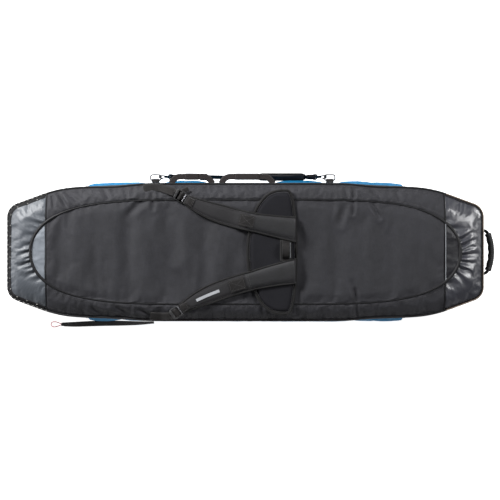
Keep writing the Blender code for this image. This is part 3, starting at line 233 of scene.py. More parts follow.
PAINTS = {
    "black": paint("black_cloth_woven", (0.0175, 0.0175, 0.0212), 0.70, pitch=0.0016, spread=0.60, wear=0.5,
                   crinkle=4.0, shine=0.32),
    "gusset": paint("black_cloth_gusset", (0.022, 0.022, 0.025), 0.76, pitch=0.0016, spread=0.45, wear=0.5,
                    crinkle=3.0, shine=0.12),
    "yoke": paint("black_cloth_yoke", (0.0135, 0.0135, 0.0150), 0.58, pitch=0.0012, spread=0.45, wear=0.5,
                  crinkle=5.0, shine=0.26),
    # The tips inside the oval are copies of the same coated cloth: the nose tip's pale grey is painted light,
    # the tail tip's near black a painted dark reflection.
    "nose_tip": paint("coated_nose_tip", (0.150, 0.166, 0.188), 0.48, "ripstop", 0.005, 0.00018, 0.16, 0.4,
                      crinkle=6.0, shine=0.3),
    # The nose and tail caps are one coated cloth in two copies: the nose's lighter, with painted light, the
    # tail's darker, with painted shade.
    "nose": paint("coated_nose", (0.062, 0.069, 0.080), 0.42, "ripstop", 0.005, 0.00018, 0.20, 0.4,
                  crinkle=7.0, shine=0.42),
    "tail": paint("coated_tail", (0.027, 0.028, 0.036), 0.33, "ripstop", 0.005, 0.00018, 0.28, 0.4,
                  crinkle=5.0, shine=1.0),
    "tip": paint("coated_tail_tip", (0.012, 0.012, 0.0145), 0.42, "ripstop", 0.005, 0.00018, 0.20, 0.4,
                 crinkle=5.0, shine=0.25),
    "blue": paint("blue_cloth_woven", (0.004, 0.112, 0.240), 0.74, pitch=0.0016, spread=0.24, wear=0.4,
                  crinkle=3.0, shine=0.15),
    "lining": paint("lining_cloth", (0.20, 0.21, 0.22), 0.82, "ripstop", 0.008, 0.0003, 0.14),
    "piping": paint("piping_vinyl", (0.006, 0.006, 0.007), 0.52, "grain", 0.0012, 0.00012, 0.3, 0.5,
                    shine=0.25),
    "webbing": paint("webbing_black", (0.016, 0.015, 0.015), 0.72, "webbing", 0.0022, 0.0004, 0.3, 0.5,
                     shine=0.12),
    "handle": paint("webbing_handle", (0.021, 0.018, 0.018), 0.74, "webbing", 0.0022, 0.0004, 0.3, 0.5,
                    shine=0.12),
    "binding": paint("binding_tape", (0.0095, 0.0093, 0.0095), 0.66, "webbing", 0.0012, 0.0002, 0.3, 0.6,
                     shine=0.14),
    "pad": paint("pad_mesh", (0.0102, 0.0102, 0.0124), 0.86, "mesh", 0.0030, 0.0006, 0.40, shine=0.12),
    "strap": paint("strap_mesh", (0.0215, 0.0210, 0.0225), 0.78, "mesh", 0.0026, 0.0005, 0.40, shine=0.15),
    "plastic": paint("plastic_moulded", (0.014, 0.014, 0.015), 0.38, "grain", 0.0007, 0.00006, 0.2, 1.0,
                     own=False),
    "metal": paint("metal_dark", (0.026, 0.026, 0.028), 0.36, "grain", 0.0011, 0.00004, 0.2, 1.0, own=False,
                   metallic=1.0),
    "silver": paint("metal_bright", (0.26, 0.26, 0.28), 0.38, "grain", 0.0011, 0.00004, 0.1, 0.0, own=False,
                    metallic=1.0),
    "tape": paint("zip_tape", (0.010, 0.010, 0.011), 0.70, "webbing", 0.0014, 0.0002, 0.25, 0.4, shine=0.15),
    "coil": paint("zip_coil", (0.040, 0.040, 0.043), 0.34, "grain", 0.0008, 0.00005, 0.2, 1.0, own=False),
    "rubber": paint("rubber_grip", (0.008, 0.008, 0.009), 0.60, "grain", 0.0010, 0.00012, 0.25, 0.8,
                    own=False, shine=0.3),
    "red": paint("cord_braided_red", (0.62, 0.060, 0.095), 0.66, "braid", 0.0010, 0.0003, 0.25, own=False),
    "label": paint("label_reflective", (0.33, 0.34, 0.36), 0.40, "ripstop", 0.0020, 0.0001, 0.10),
    "thread": paint("thread_dark", (0.034, 0.033, 0.035), 0.60, "grain", 0.0010, 0.0001, 0.2, own=False),
    # Pale trim, and painted glints: at the nose its pale dashes stand in for the zip's glints.
    "pale": paint("pale_trim_and_painted_glints", (0.50, 0.49, 0.46), 0.50, "grain", 0.0010, 0.0001, 0.15, own=False),
    "tan": paint("tape_tan", (0.110, 0.072, 0.048), 0.62, "webbing", 0.0012, 0.0002, 0.25, 0.4),
    # Light grey standing in for highlights: the tail's cross welt and the haul loop's edge strip are painted
    # highlights.
    "welt": paint("welt_painted_highlight", (0.20, 0.21, 0.23), 0.46, "webbing", 0.0012, 0.0001, 0.2),
}


# ---- Mesh makers ----
def ease(low, high, x):
    t = np.clip((np.asarray(x, float) - low) / (high - low), 0, 1)
    return t * t * (3 - 2 * t)


def bump_at(x, centre, width):
    """1 at centre, falling to 0 at width to either side."""
    return 1 - ease(0, width, np.abs(np.asarray(x, float) - centre))


def rough_noise(points, scale, seed):
    """Smooth noise, about -1 to 1, at each point of an array whose last axis is x, y, z."""
    flat = np.asarray(points, float).reshape(-1, 3)
    shift = Vector((seed * 7.13, seed * 3.71, seed * 1.97))
    made = [noise.noise(Vector(p) * scale + shift) for p in flat]
    return np.array(made).reshape(np.asarray(points).shape[:-1])


def unit(v):
    return v / np.maximum(np.linalg.norm(v, axis=-1, keepdims=True), 1e-12)


def lengths_along(line):
    """How far along a line each of its points lies."""
    return np.concatenate([[0], np.cumsum(np.linalg.norm(np.diff(line, axis=0), axis=1))])


def at_lengths(line, want):
    """Points of a line at the wanted lengths along it."""
    lengths = lengths_along(line)
    return np.stack([np.interp(want, lengths, column) for column in line.T], axis=1)


def mesh_of(name, verts, faces, cloth=None):
    mesh = bpy.data.meshes.new(name)
    mesh.from_pydata([tuple(v) for v in verts], [], faces)
    if cloth is not None:
        layer = mesh.attributes.new("cloth", "FLOAT_VECTOR", "POINT")
        layer.data.foreach_set("vector", np.asarray(cloth, np.float32).ravel())
    build = bmesh.new()
    build.from_mesh(mesh)
    bmesh.ops.recalc_face_normals(build, faces=build.faces)
    build.to_mesh(mesh)
    build.free()
    mesh.shade_smooth()
    return mesh


def keep(name, mesh, look, body, replaces=(), divide=0, sharp=None):
    """Puts a mesh in the scene as a piece that rides on a CAD body."""
    mesh.materials.clear()
    mesh.materials.append(PAINTS[look])
    if sharp:
        mesh.set_sharp_from_angle(angle=math.radians(sharp))
    made = put(name, mesh)
    if divide:
        finer = made.modifiers.new("finer", "SUBSURF")
        finer.levels = finer.render_levels = divide
    if body:
        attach(made, body)
    if replaces:
        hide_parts(*replaces)
    return made


def grid_mesh(name, grid, round_u=False, round_v=False):
    """A mesh from rows of points. round_u joins the last row to the first; round_v does so with the columns."""
    grid = np.asarray(grid, float)
    m, n = grid.shape[:2]
    faces = []
    for i in range(m if round_u else m - 1):
        a, b = i * n, ((i + 1) % m) * n
        for j in range(n if round_v else n - 1):
            k = (j + 1) % n
            faces.append((a + j, a + k, b + k, b + j))
    if round_v and not round_u:
        faces += [tuple(range(n)), tuple(range((m - 1) * n, m * n))]
    along = lengths_along(grid[:, n // 2])
    side = np.linalg.norm(np.diff(grid, axis=1), axis=2)
    across = np.concatenate([np.zeros((m, 1)), np.cumsum(side, axis=1)], axis=1)
    cloth = np.stack([np.repeat(along[:, None], n, 1), across, np.zeros((m, n))], axis=2)
    return mesh_of(name, grid.reshape(-1, 3), faces, cloth.reshape(-1, 3))


def flat_grid(x, wide, cols, z):
    """Level rows of points across the bag, one for each x, reaching as far as wide to both sides."""
    y = wide[:, None] * np.linspace(-1, 1, cols)
    return np.stack([x[:, None] * np.ones((1, cols)), y, np.full_like(y, z)], axis=2)


def grid_normals(grid):
    du, dv = np.gradient(grid, axis=0), np.gradient(grid, axis=1)
    return unit(np.cross(du, dv))


def upward_normals(grid):
    normals = grid_normals(grid)
    return normals * np.sign(normals[..., 2:])


def slab(name, top, thick, down=None):
    """A closed shell whose outer face is a grid of points. down: where its inner face lies from it."""
    thick = np.asarray(thick, float)[..., None]
    down = -grid_normals(top) * thick if down is None else np.asarray(down) * thick
    down = np.broadcast_to(down, top.shape)
    under = (top + down)[:, ::-1]
    return grid_mesh(name, np.concatenate([top, under], axis=1), round_v=True)


def swept(name, path, across, normal, section, look, body, replaces=(), closed=False):
    """A piece swept along a path. Its closed section, rows of (across, normal), may change on the way."""
    path = np.asarray(path, float)
    across, normal = (np.broadcast_to(np.asarray(a, float), path.shape) for a in (across, normal))
    section = np.asarray(section, float)
    if section.ndim == 2:
        section = np.broadcast_to(section, (len(path), *section.shape))
    grid = path[:, None] + across[:, None] * section[..., :1] + normal[:, None] * section[..., 1:]
    return keep(name, grid_mesh(name, grid, closed, True), look, body, replaces)


def circle(sides):
    turns = np.arange(sides) * 2 * math.pi / sides
    return np.stack([np.cos(turns), np.sin(turns)], axis=1)


def tape(width, thick, crown=0.0):
    """A strap's section, with rounded edges."""
    half, r = width / 2, thick / 2
    flat = np.linspace(-half + r, half - r, 5)
    rise = crown * (1 - (flat / half) ** 2)
    top = [(x, r + c) for x, c in zip(flat[::-1], rise[::-1])]
    low = [(x, -r + c) for x, c in zip(flat, rise)]
    return np.array([*low, (half, 0.0), *top, (-half, 0.0)])


def directions(path, closed=False):
    path = np.asarray(path, float)
    if closed:
        return unit(np.roll(path, -1, 0) - np.roll(path, 1, 0))
    return unit(np.gradient(path, axis=0))


def frames(path, up, closed=False):
    """At each point of a path, the direction across it and the normal; up is roughly the normal."""
    along = directions(path, closed)
    up = np.broadcast_to(np.asarray(up, float), along.shape)
    across = unit(np.cross(along, up))
    return across, unit(np.cross(across, along))


def flat_strap(name, path, wide, thick, look, body, replaces=(), up=UP):
    """A strap of webbing along a path."""
    return swept(name, path, *frames(path, up), tape(wide, thick), look, body, replaces)


def spaced(points, count=None, step=None, closed=False):
    """Points at equal steps along a line."""
    points = np.asarray(points, float)
    if closed:
        points = np.concatenate([points, points[:1]])
    length = lengths_along(points)[-1]
    if count is None:
        count = max(2, int(round(length / step)) + (0 if closed else 1))
    return at_lengths(points, np.linspace(0, length, count, endpoint=not closed))


def rounded(points, radius, closed=False, steps=6):
    """A line of 3-D points with its corners rounded by short curves."""
    points = [np.asarray(p, float) for p in points]
    count, made = len(points), []
    for i, here in enumerate(points):
        if not closed and i in (0, count - 1):
            made.append(here)
            continue
        before, after = points[i - 1], points[(i + 1) % count]
        reach = min(radius, np.linalg.norm(before - here) * 0.45, np.linalg.norm(after - here) * 0.45)
        a = here + (before - here) / np.linalg.norm(before - here) * reach
        b = here + (after - here) / np.linalg.norm(after - here) * reach
        for t in np.linspace(0, 1, steps):
            made.append(a * (1 - t) ** 2 + here * 2 * t * (1 - t) + b * t * t)
    return np.array(made)


def stitches(name, lines, look, body, length=0.0032, gap=0.0016, radius=0.00045):
    """Rows of sewn stitches. Each line is (points, directions away from the cloth)."""
    verts, faces = [], []
    ring = circle(5)
    for points, away in lines:
        points, away = np.asarray(points, float), np.broadcast_to(np.asarray(away, float), np.shape(points))
        both = np.concatenate([points, away], axis=1)
        lengths = lengths_along(points)
        at = lambda s: np.array([np.interp(s, lengths, both[:, k]) for k in range(6)])
        place = gap
        while place + length < lengths[-1]:
            start, end = at(place), at(place + length)
            along = unit(end[:3] - start[:3])
            up = unit(start[3:])
            across = unit(np.cross(along, up))
            base = len(verts)
            for share, size in ((0.0, 0.35), (0.2, 1.0), (0.8, 1.0), (1.0, 0.35)):
                centre = start[:3] + (end[:3] - start[:3]) * share + up * radius * (size - 0.6)
                verts += [centre + radius * size * (c * across + s * up) for c, s in ring]
            for first in (base, base + 5, base + 10):
                for j in range(5):
                    k = (j + 1) % 5
                    faces.append((first + j, first + k, first + 5 + k, first + 5 + j))
            faces += [tuple(range(base, base + 5)), tuple(range(base + 15, base + 20))]
            place += length + gap
    return keep(name, mesh_of(name, verts, faces), look, body)


def refine(cad_node, look, width=0.0006, segments=3):
    """A moulded or cast piece from a CAD node's own shape, with finely rounded edges."""
    build = bmesh.new()
    build.from_mesh(NODES[cad_node].data)
    bmesh.ops.remove_doubles(build, verts=build.verts, dist=1e-6)
    bmesh.ops.dissolve_limit(build, angle_limit=math.radians(1), verts=build.verts, edges=build.edges)
    mesh = bpy.data.meshes.new(cad_node + "_shape")
    build.to_mesh(mesh)
    build.free()
    mesh.shade_smooth()
    made = keep(cad_node + "_shape", mesh, look, NODES[cad_node]["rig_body"], (cad_node,))
    edge = made.modifiers.new("edges", "BEVEL")
    edge.width, edge.segments = width, segments
    edge.limit_method, edge.angle_limit = "ANGLE", math.radians(25)
    mesh.set_sharp_from_angle(angle=math.radians(40))
    return made


# ---- Cloth ----
def run_cloth(mesh, pins, last, pressure, grow, bend):
    """Steps Blender's cloth on a mesh, without gravity, and returns where its points end up."""
    scene = bpy.context.scene
    made = put("cloth_trial", mesh)
    cloth = made.modifiers.new("cloth", "CLOTH")
    rules = cloth.settings
    rules.quality, rules.mass, rules.air_damping = 6, 0.25, 2.0
    rules.tension_stiffness = rules.compression_stiffness = 18
    rules.shear_stiffness, rules.bending_stiffness = 8, bend
    rules.effector_weights.gravity = 0
    rules.shrink_min = -grow
    if pressure:
        rules.use_pressure = True
        rules.uniform_pressure_force = pressure
    if pins:
        group = made.vertex_groups.new(name="pins")
        group.add([int(i) for i in pins], 1.0, "REPLACE")
        rules.vertex_group_mass = "pins"
    cloth.collision_settings.use_collision = False
    cloth.point_cache.frame_start, cloth.point_cache.frame_end = 1, last
    for i in range(1, last + 1):
        scene.frame_set(i)
    ready = made.evaluated_get(bpy.context.evaluated_depsgraph_get())
    moved = np.array([v.co for v in ready.data.vertices], float)
    bpy.data.objects.remove(made)
    scene.frame_set(1)
    return moved


def stacked_rings(name, rings):
    """A closed mesh through rings of points."""
    m, n = len(rings), len(rings[0])
    faces = [(i * n + j, i * n + (j + 1) % n, (i + 1) * n + (j + 1) % n, (i + 1) * n + j)
             for i in range(m - 1) for j in range(n)]
    faces += [tuple(range(n)), tuple(range((m - 1) * n, m * n))]
    return mesh_of(name, np.concatenate(rings), faces)


def soften(start, moved, limit):
    """Keeps each point within limit of where it started."""
    step = moved - start
    size = np.maximum(np.linalg.norm(step, axis=-1, keepdims=True), 1e-9)
    return start + step * (limit * np.tanh(size / limit) / size)


def drape(grid, limit, grow):
    """Simulates a grid as cloth cut larger by grow and pinned along its sewn edges."""
    m, n = grid.shape[:2]
    index = np.arange(m * n).reshape(m, n)
    pins = sorted({int(i) for row in (index[0], index[-1], index[:, 0], index[:, -1]) for i in row})
    moved = run_cloth(grid_mesh("cloth_trial", grid), pins, DRAPE_FRAMES, 0.0, grow, 0.4)
    return soften(grid, moved.reshape(grid.shape), limit)


def inflate(mesh, limit, voxel):
    """The pad recipe: remesh evenly, blow up as cloth, keep every point near its start."""
    made = put("pad_trial", mesh)
    even = made.modifiers.new("even", "REMESH")
    even.mode, even.voxel_size = "VOXEL", voxel
    ready = made.evaluated_get(bpy.context.evaluated_depsgraph_get())
    even_mesh = bpy.data.meshes.new_from_object(ready)
    bpy.data.objects.remove(made)
    start = np.array([v.co for v in even_mesh.vertices], float)
    moved = run_cloth(even_mesh.copy(), (), PAD_FRAMES, PAD_PRESSURE, 0.0, 0.5)
    return even_mesh, soften(start, moved, limit)


def settle(mesh, moved):
    """Writes an inflated pad's final points, which are its cloth coordinates too."""
    flat = moved.astype(np.float32).ravel()
    mesh.vertices.foreach_set("co", flat)
    mesh.attributes.new("cloth", "FLOAT_VECTOR", "POINT").data.foreach_set("vector", flat)
    mesh.shade_smooth()


# ---- Plan curves ----
def fillet(before, corner, after, radius):
    before, corner, after = Vector(before), Vector(corner), Vector(after)
    to_before, to_after = (before - corner).normalized(), (after - corner).normalized()
    half = to_before.angle(to_after) / 2
    centre = corner + (to_before + to_after).normalized() * (radius / math.sin(half))
    start = corner + to_before * (radius / math.tan(half)) - centre
    turn = math.pi - 2 * half
    steps = max(3, math.ceil(turn / math.radians(2.5)))
    sign = -1 if to_before.cross(to_after) > 0 else 1
    made = []
    for i in range(steps + 1):
        angle = sign * turn * i / steps
        made.append((centre.x + start.x * math.cos(angle) - start.y * math.sin(angle),
                     centre.y + start.x * math.sin(angle) + start.y * math.cos(angle)))
    return made


def quarter_outline():
    corners = [(0.0, HALF_WIDTH), *[place for place, _ in BENDS], (HALF_LENGTH, 0.0)]
    made = [corners[0]]
    for i, (_, radius) in enumerate(BENDS):
        made += fillet(corners[i], corners[i + 1], corners[i + 2], radius)
    return [*made, corners[-1]]


QUARTER = np.array(quarter_outline())
FALLING = QUARTER[:-1]


def half_width(x):
    return np.interp(np.abs(x), FALLING[:, 0], FALLING[:, 1])


def whole_outline(step=0.006):
    right = np.concatenate([QUARTER, QUARTER[-2::-1] * (1, -1)])
    left = right[-2:0:-1] * (-1, 1)
    return spaced(np.concatenate([right, left]), step=step, closed=True)


def outward(path, closed):
    """Unit normals in plan of a path that runs clockwise seen from above."""
    along = directions(path, closed)
    return np.stack([-along[:, 1], along[:, 0]], axis=1)


def end_line(start_x, sign, step=0.006):
    """The outline round one end, clockwise, from |x| = start_x."""
    beyond = QUARTER[QUARTER[:, 0] > start_x + 0.001]
    right = np.concatenate([[(start_x, half_width(start_x))], beyond])
    right = np.concatenate([right, right[-2::-1] * (1, -1)])
    return spaced(right if sign > 0 else right * (-1, -1), step=step)


def oval_width(x):
    share = np.clip(np.abs(x) / OVAL_A, 0, 1)
    return OVAL_B * (1 - share ** OVAL_POWERS[0]) ** (1 / OVAL_POWERS[1])


def oval_line(clear=0.0):
    """The oval seam as dense points, clockwise from the middle of the +Y side, moved outwards by clear."""
    turns = math.pi / 2 - np.linspace(0, 2 * math.pi, OVAL_POINTS, endpoint=False)
    c, s = np.cos(turns), np.sin(turns)
    line = np.stack([np.sign(c) * np.abs(c) ** (2 / OVAL_POWERS[0]) * OVAL_A,
                     np.sign(s) * np.abs(s) ** (2 / OVAL_POWERS[1]) * OVAL_B], axis=1)
    line = spaced(line, count=OVAL_POINTS, closed=True)
    return line + outward(line, True) * clear


def edge_dip(x):
    """How far the back panel's edge sags in, where the side gussets push out past it."""
    return 0.0040 * bump_at(np.abs(x), 0.405, 0.110)


def plan3(line, z):
    line = np.asarray(line, float)
    return np.column_stack([line, np.broadcast_to(z, len(line))])


# ---- Folds ----
# Creases in the back panel: (x0, y0, x1, y1, depth, half width), as the photo's folds lie.
CREASES = [
    (0.331, 0.195, 0.327, 0.116, 0.0036, 0.0070), (0.302, 0.190, 0.318, 0.150, 0.0022, 0.0080),
    (0.372, 0.196, 0.420, 0.160, 0.0026, 0.0100), (0.384, 0.150, 0.410, 0.104, 0.0030, 0.0075),
    (0.300, 0.140, 0.290, 0.085, 0.0022, 0.0120), (0.334, -0.115, 0.340, -0.200, 0.0026, 0.0070),
    (0.325, -0.090, 0.342, -0.145, 0.0022, 0.0090), (-0.575, 0.185, -0.545, 0.135, 0.0030, 0.0070),
    (-0.590, 0.180, -0.585, 0.135, 0.0022, 0.0060), (-0.548, 0.180, -0.505, 0.150, 0.0018, 0.0090),
    (-0.285, 0.175, -0.282, 0.130, 0.0030, 0.0080), (-0.310, 0.165, -0.360, 0.110, 0.0020, 0.0150),
    (-0.480, -0.165, -0.430, -0.195, 0.0020, 0.0100), (-0.400, -0.165, -0.360, -0.190, 0.0018, 0.0100),
    (-0.330, -0.175, -0.285, -0.195, 0.0020, 0.0080), (-0.370, 0.090, -0.350, -0.060, 0.0016, 0.0250),
    (-0.240, 0.120, -0.215, -0.010, 0.0018, 0.0240), (0.190, 0.100, 0.215, -0.080, 0.0020, 0.0260),
    (0.455, 0.185, 0.480, 0.150, 0.0016, 0.0100), (-0.440, 0.195, -0.415, 0.160, 0.0018, 0.0090),
]


def crease(x, y):
    """How far the folds press the cloth down, from a list of straight runs."""
    found = np.zeros(np.shape(x))
    for x0, y0, x1, y1, depth, wide in CREASES:
        dx, dy = x1 - x0, y1 - y0
        share = np.clip(((x - x0) * dx + (y - y0) * dy) / (dx * dx + dy * dy), 0, 1)
        apart = np.hypot(x - x0 - share * dx, y - y0 - share * dy)
        ends = np.sin(np.pi * (0.12 + 0.76 * share))
        wide = CREASE_WIDE * wide
        found -= CREASE_DEEP * depth * ends * np.exp(-((apart / wide) ** 2))
        found += CREASE_RIDGE * depth * ends * np.exp(-(((apart - 2.0 * wide) / wide) ** 2))
    return found


def folds(grid, size, seed, scale=(9.0, 13.0, 1.0)):
    stretched = grid * np.asarray(scale)
    return size * (0.7 * rough_noise(stretched, 1.0, seed) + 0.3 * rough_noise(stretched, 2.7, seed + 5))


def puckers(along, apart, size, pitch, seed):
    """Small gathers across a seam: ridges along it that die out away from it."""
    keys = np.stack([along / pitch, np.zeros_like(along), np.full_like(along, seed)], axis=-1)
    return size * rough_noise(keys, 1.0, seed) * np.exp(-apart / PUCKER_REACH)


# ---- Back shell: the panels of the top ----
def border_grid(sign):
    """The long panel between the oval seam and the edge."""
    x = np.linspace(-CROSS_X + 0.0006, CROSS_X - 0.0006, 276)[:, None] * np.ones((1, 15))
    t = np.linspace(0, 1, 15)[None, :] * np.ones((276, 1))
    slope = np.gradient(oval_width(x[:, 0]), x[:, 0])[:, None]
    inner = oval_width(x) + 0.0024 * np.sqrt(1 + slope**2)
    outer = half_width(x) - 0.0030 - edge_dip(x)
    y = inner + (outer - inner) * t
    z = TOP_Z - 0.0016 + (EDGE_Z - TOP_Z + 0.0012) * t + 0.0058 * np.sin(np.pi * t**0.85)
    grid = np.stack([x, sign * y, z], axis=2)
    calm = np.sin(np.pi * t) ** 0.7
    z = z + calm * (folds(grid, 0.0032, 3 + sign, (18, 12, 1)) + crease(x, sign * y))
    z = z + puckers(x, (y - inner), 0.0026, 0.012, 11 + sign) * np.minimum(1, t * 8)
    z = z + puckers(x, (outer - y), 0.0024, 0.015, 17 + sign) * np.minimum(1, (1 - t) * 8)
    z = np.maximum(z, TOP_Z - 0.0040 + (EDGE_Z - TOP_Z) * t)
    return np.stack([x, sign * y, z], axis=2)


def clear_of_harness(x, y):
    """1 under the pad, straps and webbing, where the panel stays low."""
    under = np.zeros(np.shape(x))
    for curve in CURVES.values():
        for t in np.linspace(0, 1, 24):
            place, _ = cubic(curve, t)
            under = np.maximum(under, bump_at(np.hypot(x - place[0], y - place[1]), 0, 0.075))
    return np.maximum(under, bump_at(x, 0.08, 0.14) * bump_at(y, 0, 0.24))


def centre_grid():
    """The panel inside the oval seam, between the two cross seams."""
    x = np.linspace(-CROSS_X + 0.0006, CROSS_X - 0.0006, 244)[:, None] * np.ones((1, 62))
    v = np.sin(np.linspace(-1, 1, 62) * math.pi / 2 * 0.96)[None, :] / math.sin(math.pi / 2 * 0.96)
    slope = np.gradient(oval_width(x[:, 0]), x[:, 0])[:, None]
    wide = oval_width(x) - 0.0022 * np.sqrt(1 + slope**2)
    y = wide * v
    apart = wide - np.abs(y)
    dome = ease(0, 0.030, apart)
    grid = np.stack([x, y, np.full_like(x, TOP_Z)], axis=2)
    rise = -0.0016 + 0.0022 * dome + dome * folds(grid, 0.0060, 21, (15, 4.5, 1))
    rise = rise + dome**0.3 * crease(x, y)
    rise = rise + puckers(x, apart, 0.0022, 0.013, 31) * np.minimum(1, apart / 0.003)
    shadow_dip = 0.0030 * bump_at(x, 0.172, 0.028) * bump_at(y, 0.0, 0.14)
    rise = rise - shadow_dip
    under = clear_of_harness(x, y)
    rise = rise * (1 - 0.6 * under) - 0.0004 * under
    return np.stack([x, y, TOP_Z + np.clip(rise, -0.0048, 0.0056 - 0.0045 * under)], axis=2)


def tip_grid(sign):
    """The coated piece inside the oval's tip."""
    x = np.linspace(0, 1, 26) ** 0.75 * (OVAL_A - 0.0030 - CROSS_X) + CROSS_X + 0.0004
    wide = np.maximum(oval_width(x) * 0.985 - 0.0020, 0.004)
    grid = flat_grid(sign * x, wide, 40, TOP_Z)
    apart = np.minimum(wide[:, None] - np.abs(grid[..., 1]), (x[-1] - x)[:, None])
    dome = ease(0, 0.022, apart)
    grid[..., 2] += -0.0014 + 0.0026 * dome + dome * folds(grid, 0.0012, 41 + sign, (16, 12, 1))
    return grid


# Pleats in the end caps, sewn into the oval's tip: (y on the seam, lean along y, depth, half width, length).
PLEATS = {
    -1: [(0.104, 0.012, 0.0036, 0.0070, 0.046), (0.084, 0.014, 0.0050, 0.0060, 0.056),
         (0.070, 0.010, 0.0030, 0.0040, 0.030), (0.052, 0.006, 0.0026, 0.0060, 0.034),
         (0.024, -0.004, 0.0024, 0.0060, 0.030), (0.003, -0.016, 0.0040, 0.0050, 0.044),
         (-0.016, -0.012, 0.0030, 0.0035, 0.026), (-0.029, -0.018, 0.0048, 0.0050, 0.050),
         (-0.046, -0.014, 0.0030, 0.0040, 0.030), (-0.060, -0.022, 0.0044, 0.0055, 0.046),
         (-0.080, -0.012, 0.0028, 0.0060, 0.036)],
    1: [(0.100, 0.020, 0.0026, 0.0110, 0.050), (0.070, 0.016, 0.0030, 0.0090, 0.050),
        (0.036, 0.030, 0.0046, 0.0065, 0.060), (0.018, 0.026, 0.0050, 0.0055, 0.058),
        (0.002, 0.016, 0.0030, 0.0040, 0.036), (-0.010, 0.006, 0.0050, 0.0060, 0.060),
        (-0.030, -0.008, 0.0040, 0.0055, 0.050), (-0.046, -0.034, 0.0048, 0.0065, 0.066),
        (-0.062, -0.050, 0.0044, 0.0065, 0.070), (-0.090, -0.030, 0.0024, 0.0120, 0.050)],
}


def cap_grid(sign):
    """The coated panel round one end, from the oval seam out to the edge."""
    seam = oval_line(0.0024)
    seam = seam[seam[:, 0] > CROSS_X + 0.0006]
    seam = seam[np.argsort(-seam[:, 1])]
    inner = spaced(seam, count=132)
    edge = end_line(CROSS_X + 0.0006, 1, 0.004)
    edge = edge - outward(edge, False) * 0.0030
    edge[0, 0] = edge[-1, 0] = CROSS_X + 0.0006
    outer = spaced(edge, count=132)
    t = np.linspace(0, 1, 20)[None, :, None]
    plan = inner[:, None] * (1 - t) + outer[:, None] * t
    t = t[..., 0] * np.ones((132, 1))
    apart = np.linalg.norm(plan - inner[:, None], axis=2)
    z = TOP_Z - 0.0014 + (EDGE_Z - TOP_Z + 0.0010) * t**1.05 + 0.0075 * np.sin(np.pi * t**0.9)
    x, y = plan[..., 0], plan[..., 1]
    calm = np.sin(np.pi * t) ** 0.6
    grid = np.stack([sign * x, y, z], axis=2)
    z = z + calm * folds(grid, 0.0022 if sign < 0 else 0.0034, 51 + sign, (13, 13, 1))
    for seam_y, lean, depth, wide, length in PLEATS[sign]:
        centre = seam_y + lean * apart / length
        spread = wide * (1 + 0.8 * apart / length)
        fall = np.clip(1 - apart / length, 0, 1) ** 0.8 * np.minimum(1, apart / 0.003 + 0.25)
        off = (y - centre) / spread
        z = z + 1.5 * depth * fall * (0.6 * np.exp(-((off - 1.25) ** 2)) - np.exp(-(off**2)))
    z = z + puckers(y + x * 0.3, apart, 0.0012, 0.010, 61 + sign) * np.minimum(1, t * 8)
    made = np.stack([sign * x, y, z], axis=2)
    return made if sign > 0 else made[:, ::-1]


def back_panels():
    panels = {}
    for side, sign in SIDES:
        grid = drape(border_grid(sign), limit=0.0035, grow=0.020)
        panels[side] = grid
        mesh = slab(f"border_{side}", grid, PANEL_THICK, DOWN)
        keep(f"back_border_{side}_cloth", mesh, "black", "back_shell", (f"back_border_{side}",), 1)
    centre = drape(centre_grid(), limit=0.0026, grow=0.010)
    under = clear_of_harness(centre[..., 0], centre[..., 1])
    centre[..., 2] = np.minimum(centre[..., 2], TOP_Z + 0.0056 - 0.0045 * under)
    panels["centre"] = centre
    keep("back_centre_panel_cloth", slab("centre", centre, centre[..., 2] - CENTRE_UNDER_Z, DOWN), "black",
         "back_shell", ("back_centre_panel",), 0)
    # the nose cap takes the lighter copy of the coated cloth (painted light), the tail cap the darker (painted
    # shade)
    for end, sign, look in (("tail", 1, "tail"), ("nose", -1, "nose")):
        grid = drape(cap_grid(sign), limit=0.0040, grow=0.022)
        panels[end] = grid
        mesh = slab(f"{end}_cap", grid, PANEL_THICK, DOWN)
        keep(f"{end}_cap_coated", mesh, look, "back_shell", (f"{end}_cap",), 1)
        # the tip's copy of the coated cloth: pale at the nose (painted light), near black at the tail (painted
        # dark reflection)
        tip = drape(tip_grid(sign), limit=0.0016, grow=0.008)
        panels[f"{end}_tip"] = tip
        keep(f"centre_end_{end}_coated", slab(f"{end}_tip", tip, tip[..., 2] - CENTRE_UNDER_Z, DOWN),
             "tip" if sign > 0 else "nose_tip", "back_shell", (f"centre_end_{end}",), 1)
    return panels


def round_cord(name, path, radius, look, body, closed=False, replaces=(), sides=12, up=UP, squash=1.0):
    across, normal = frames(path, up, closed)
    radius = np.broadcast_to(radius, (len(path),))
    section = circle(sides) * (1, squash) * radius[:, None, None]
    return swept(name, path, across, normal, section, look, body, replaces, closed)


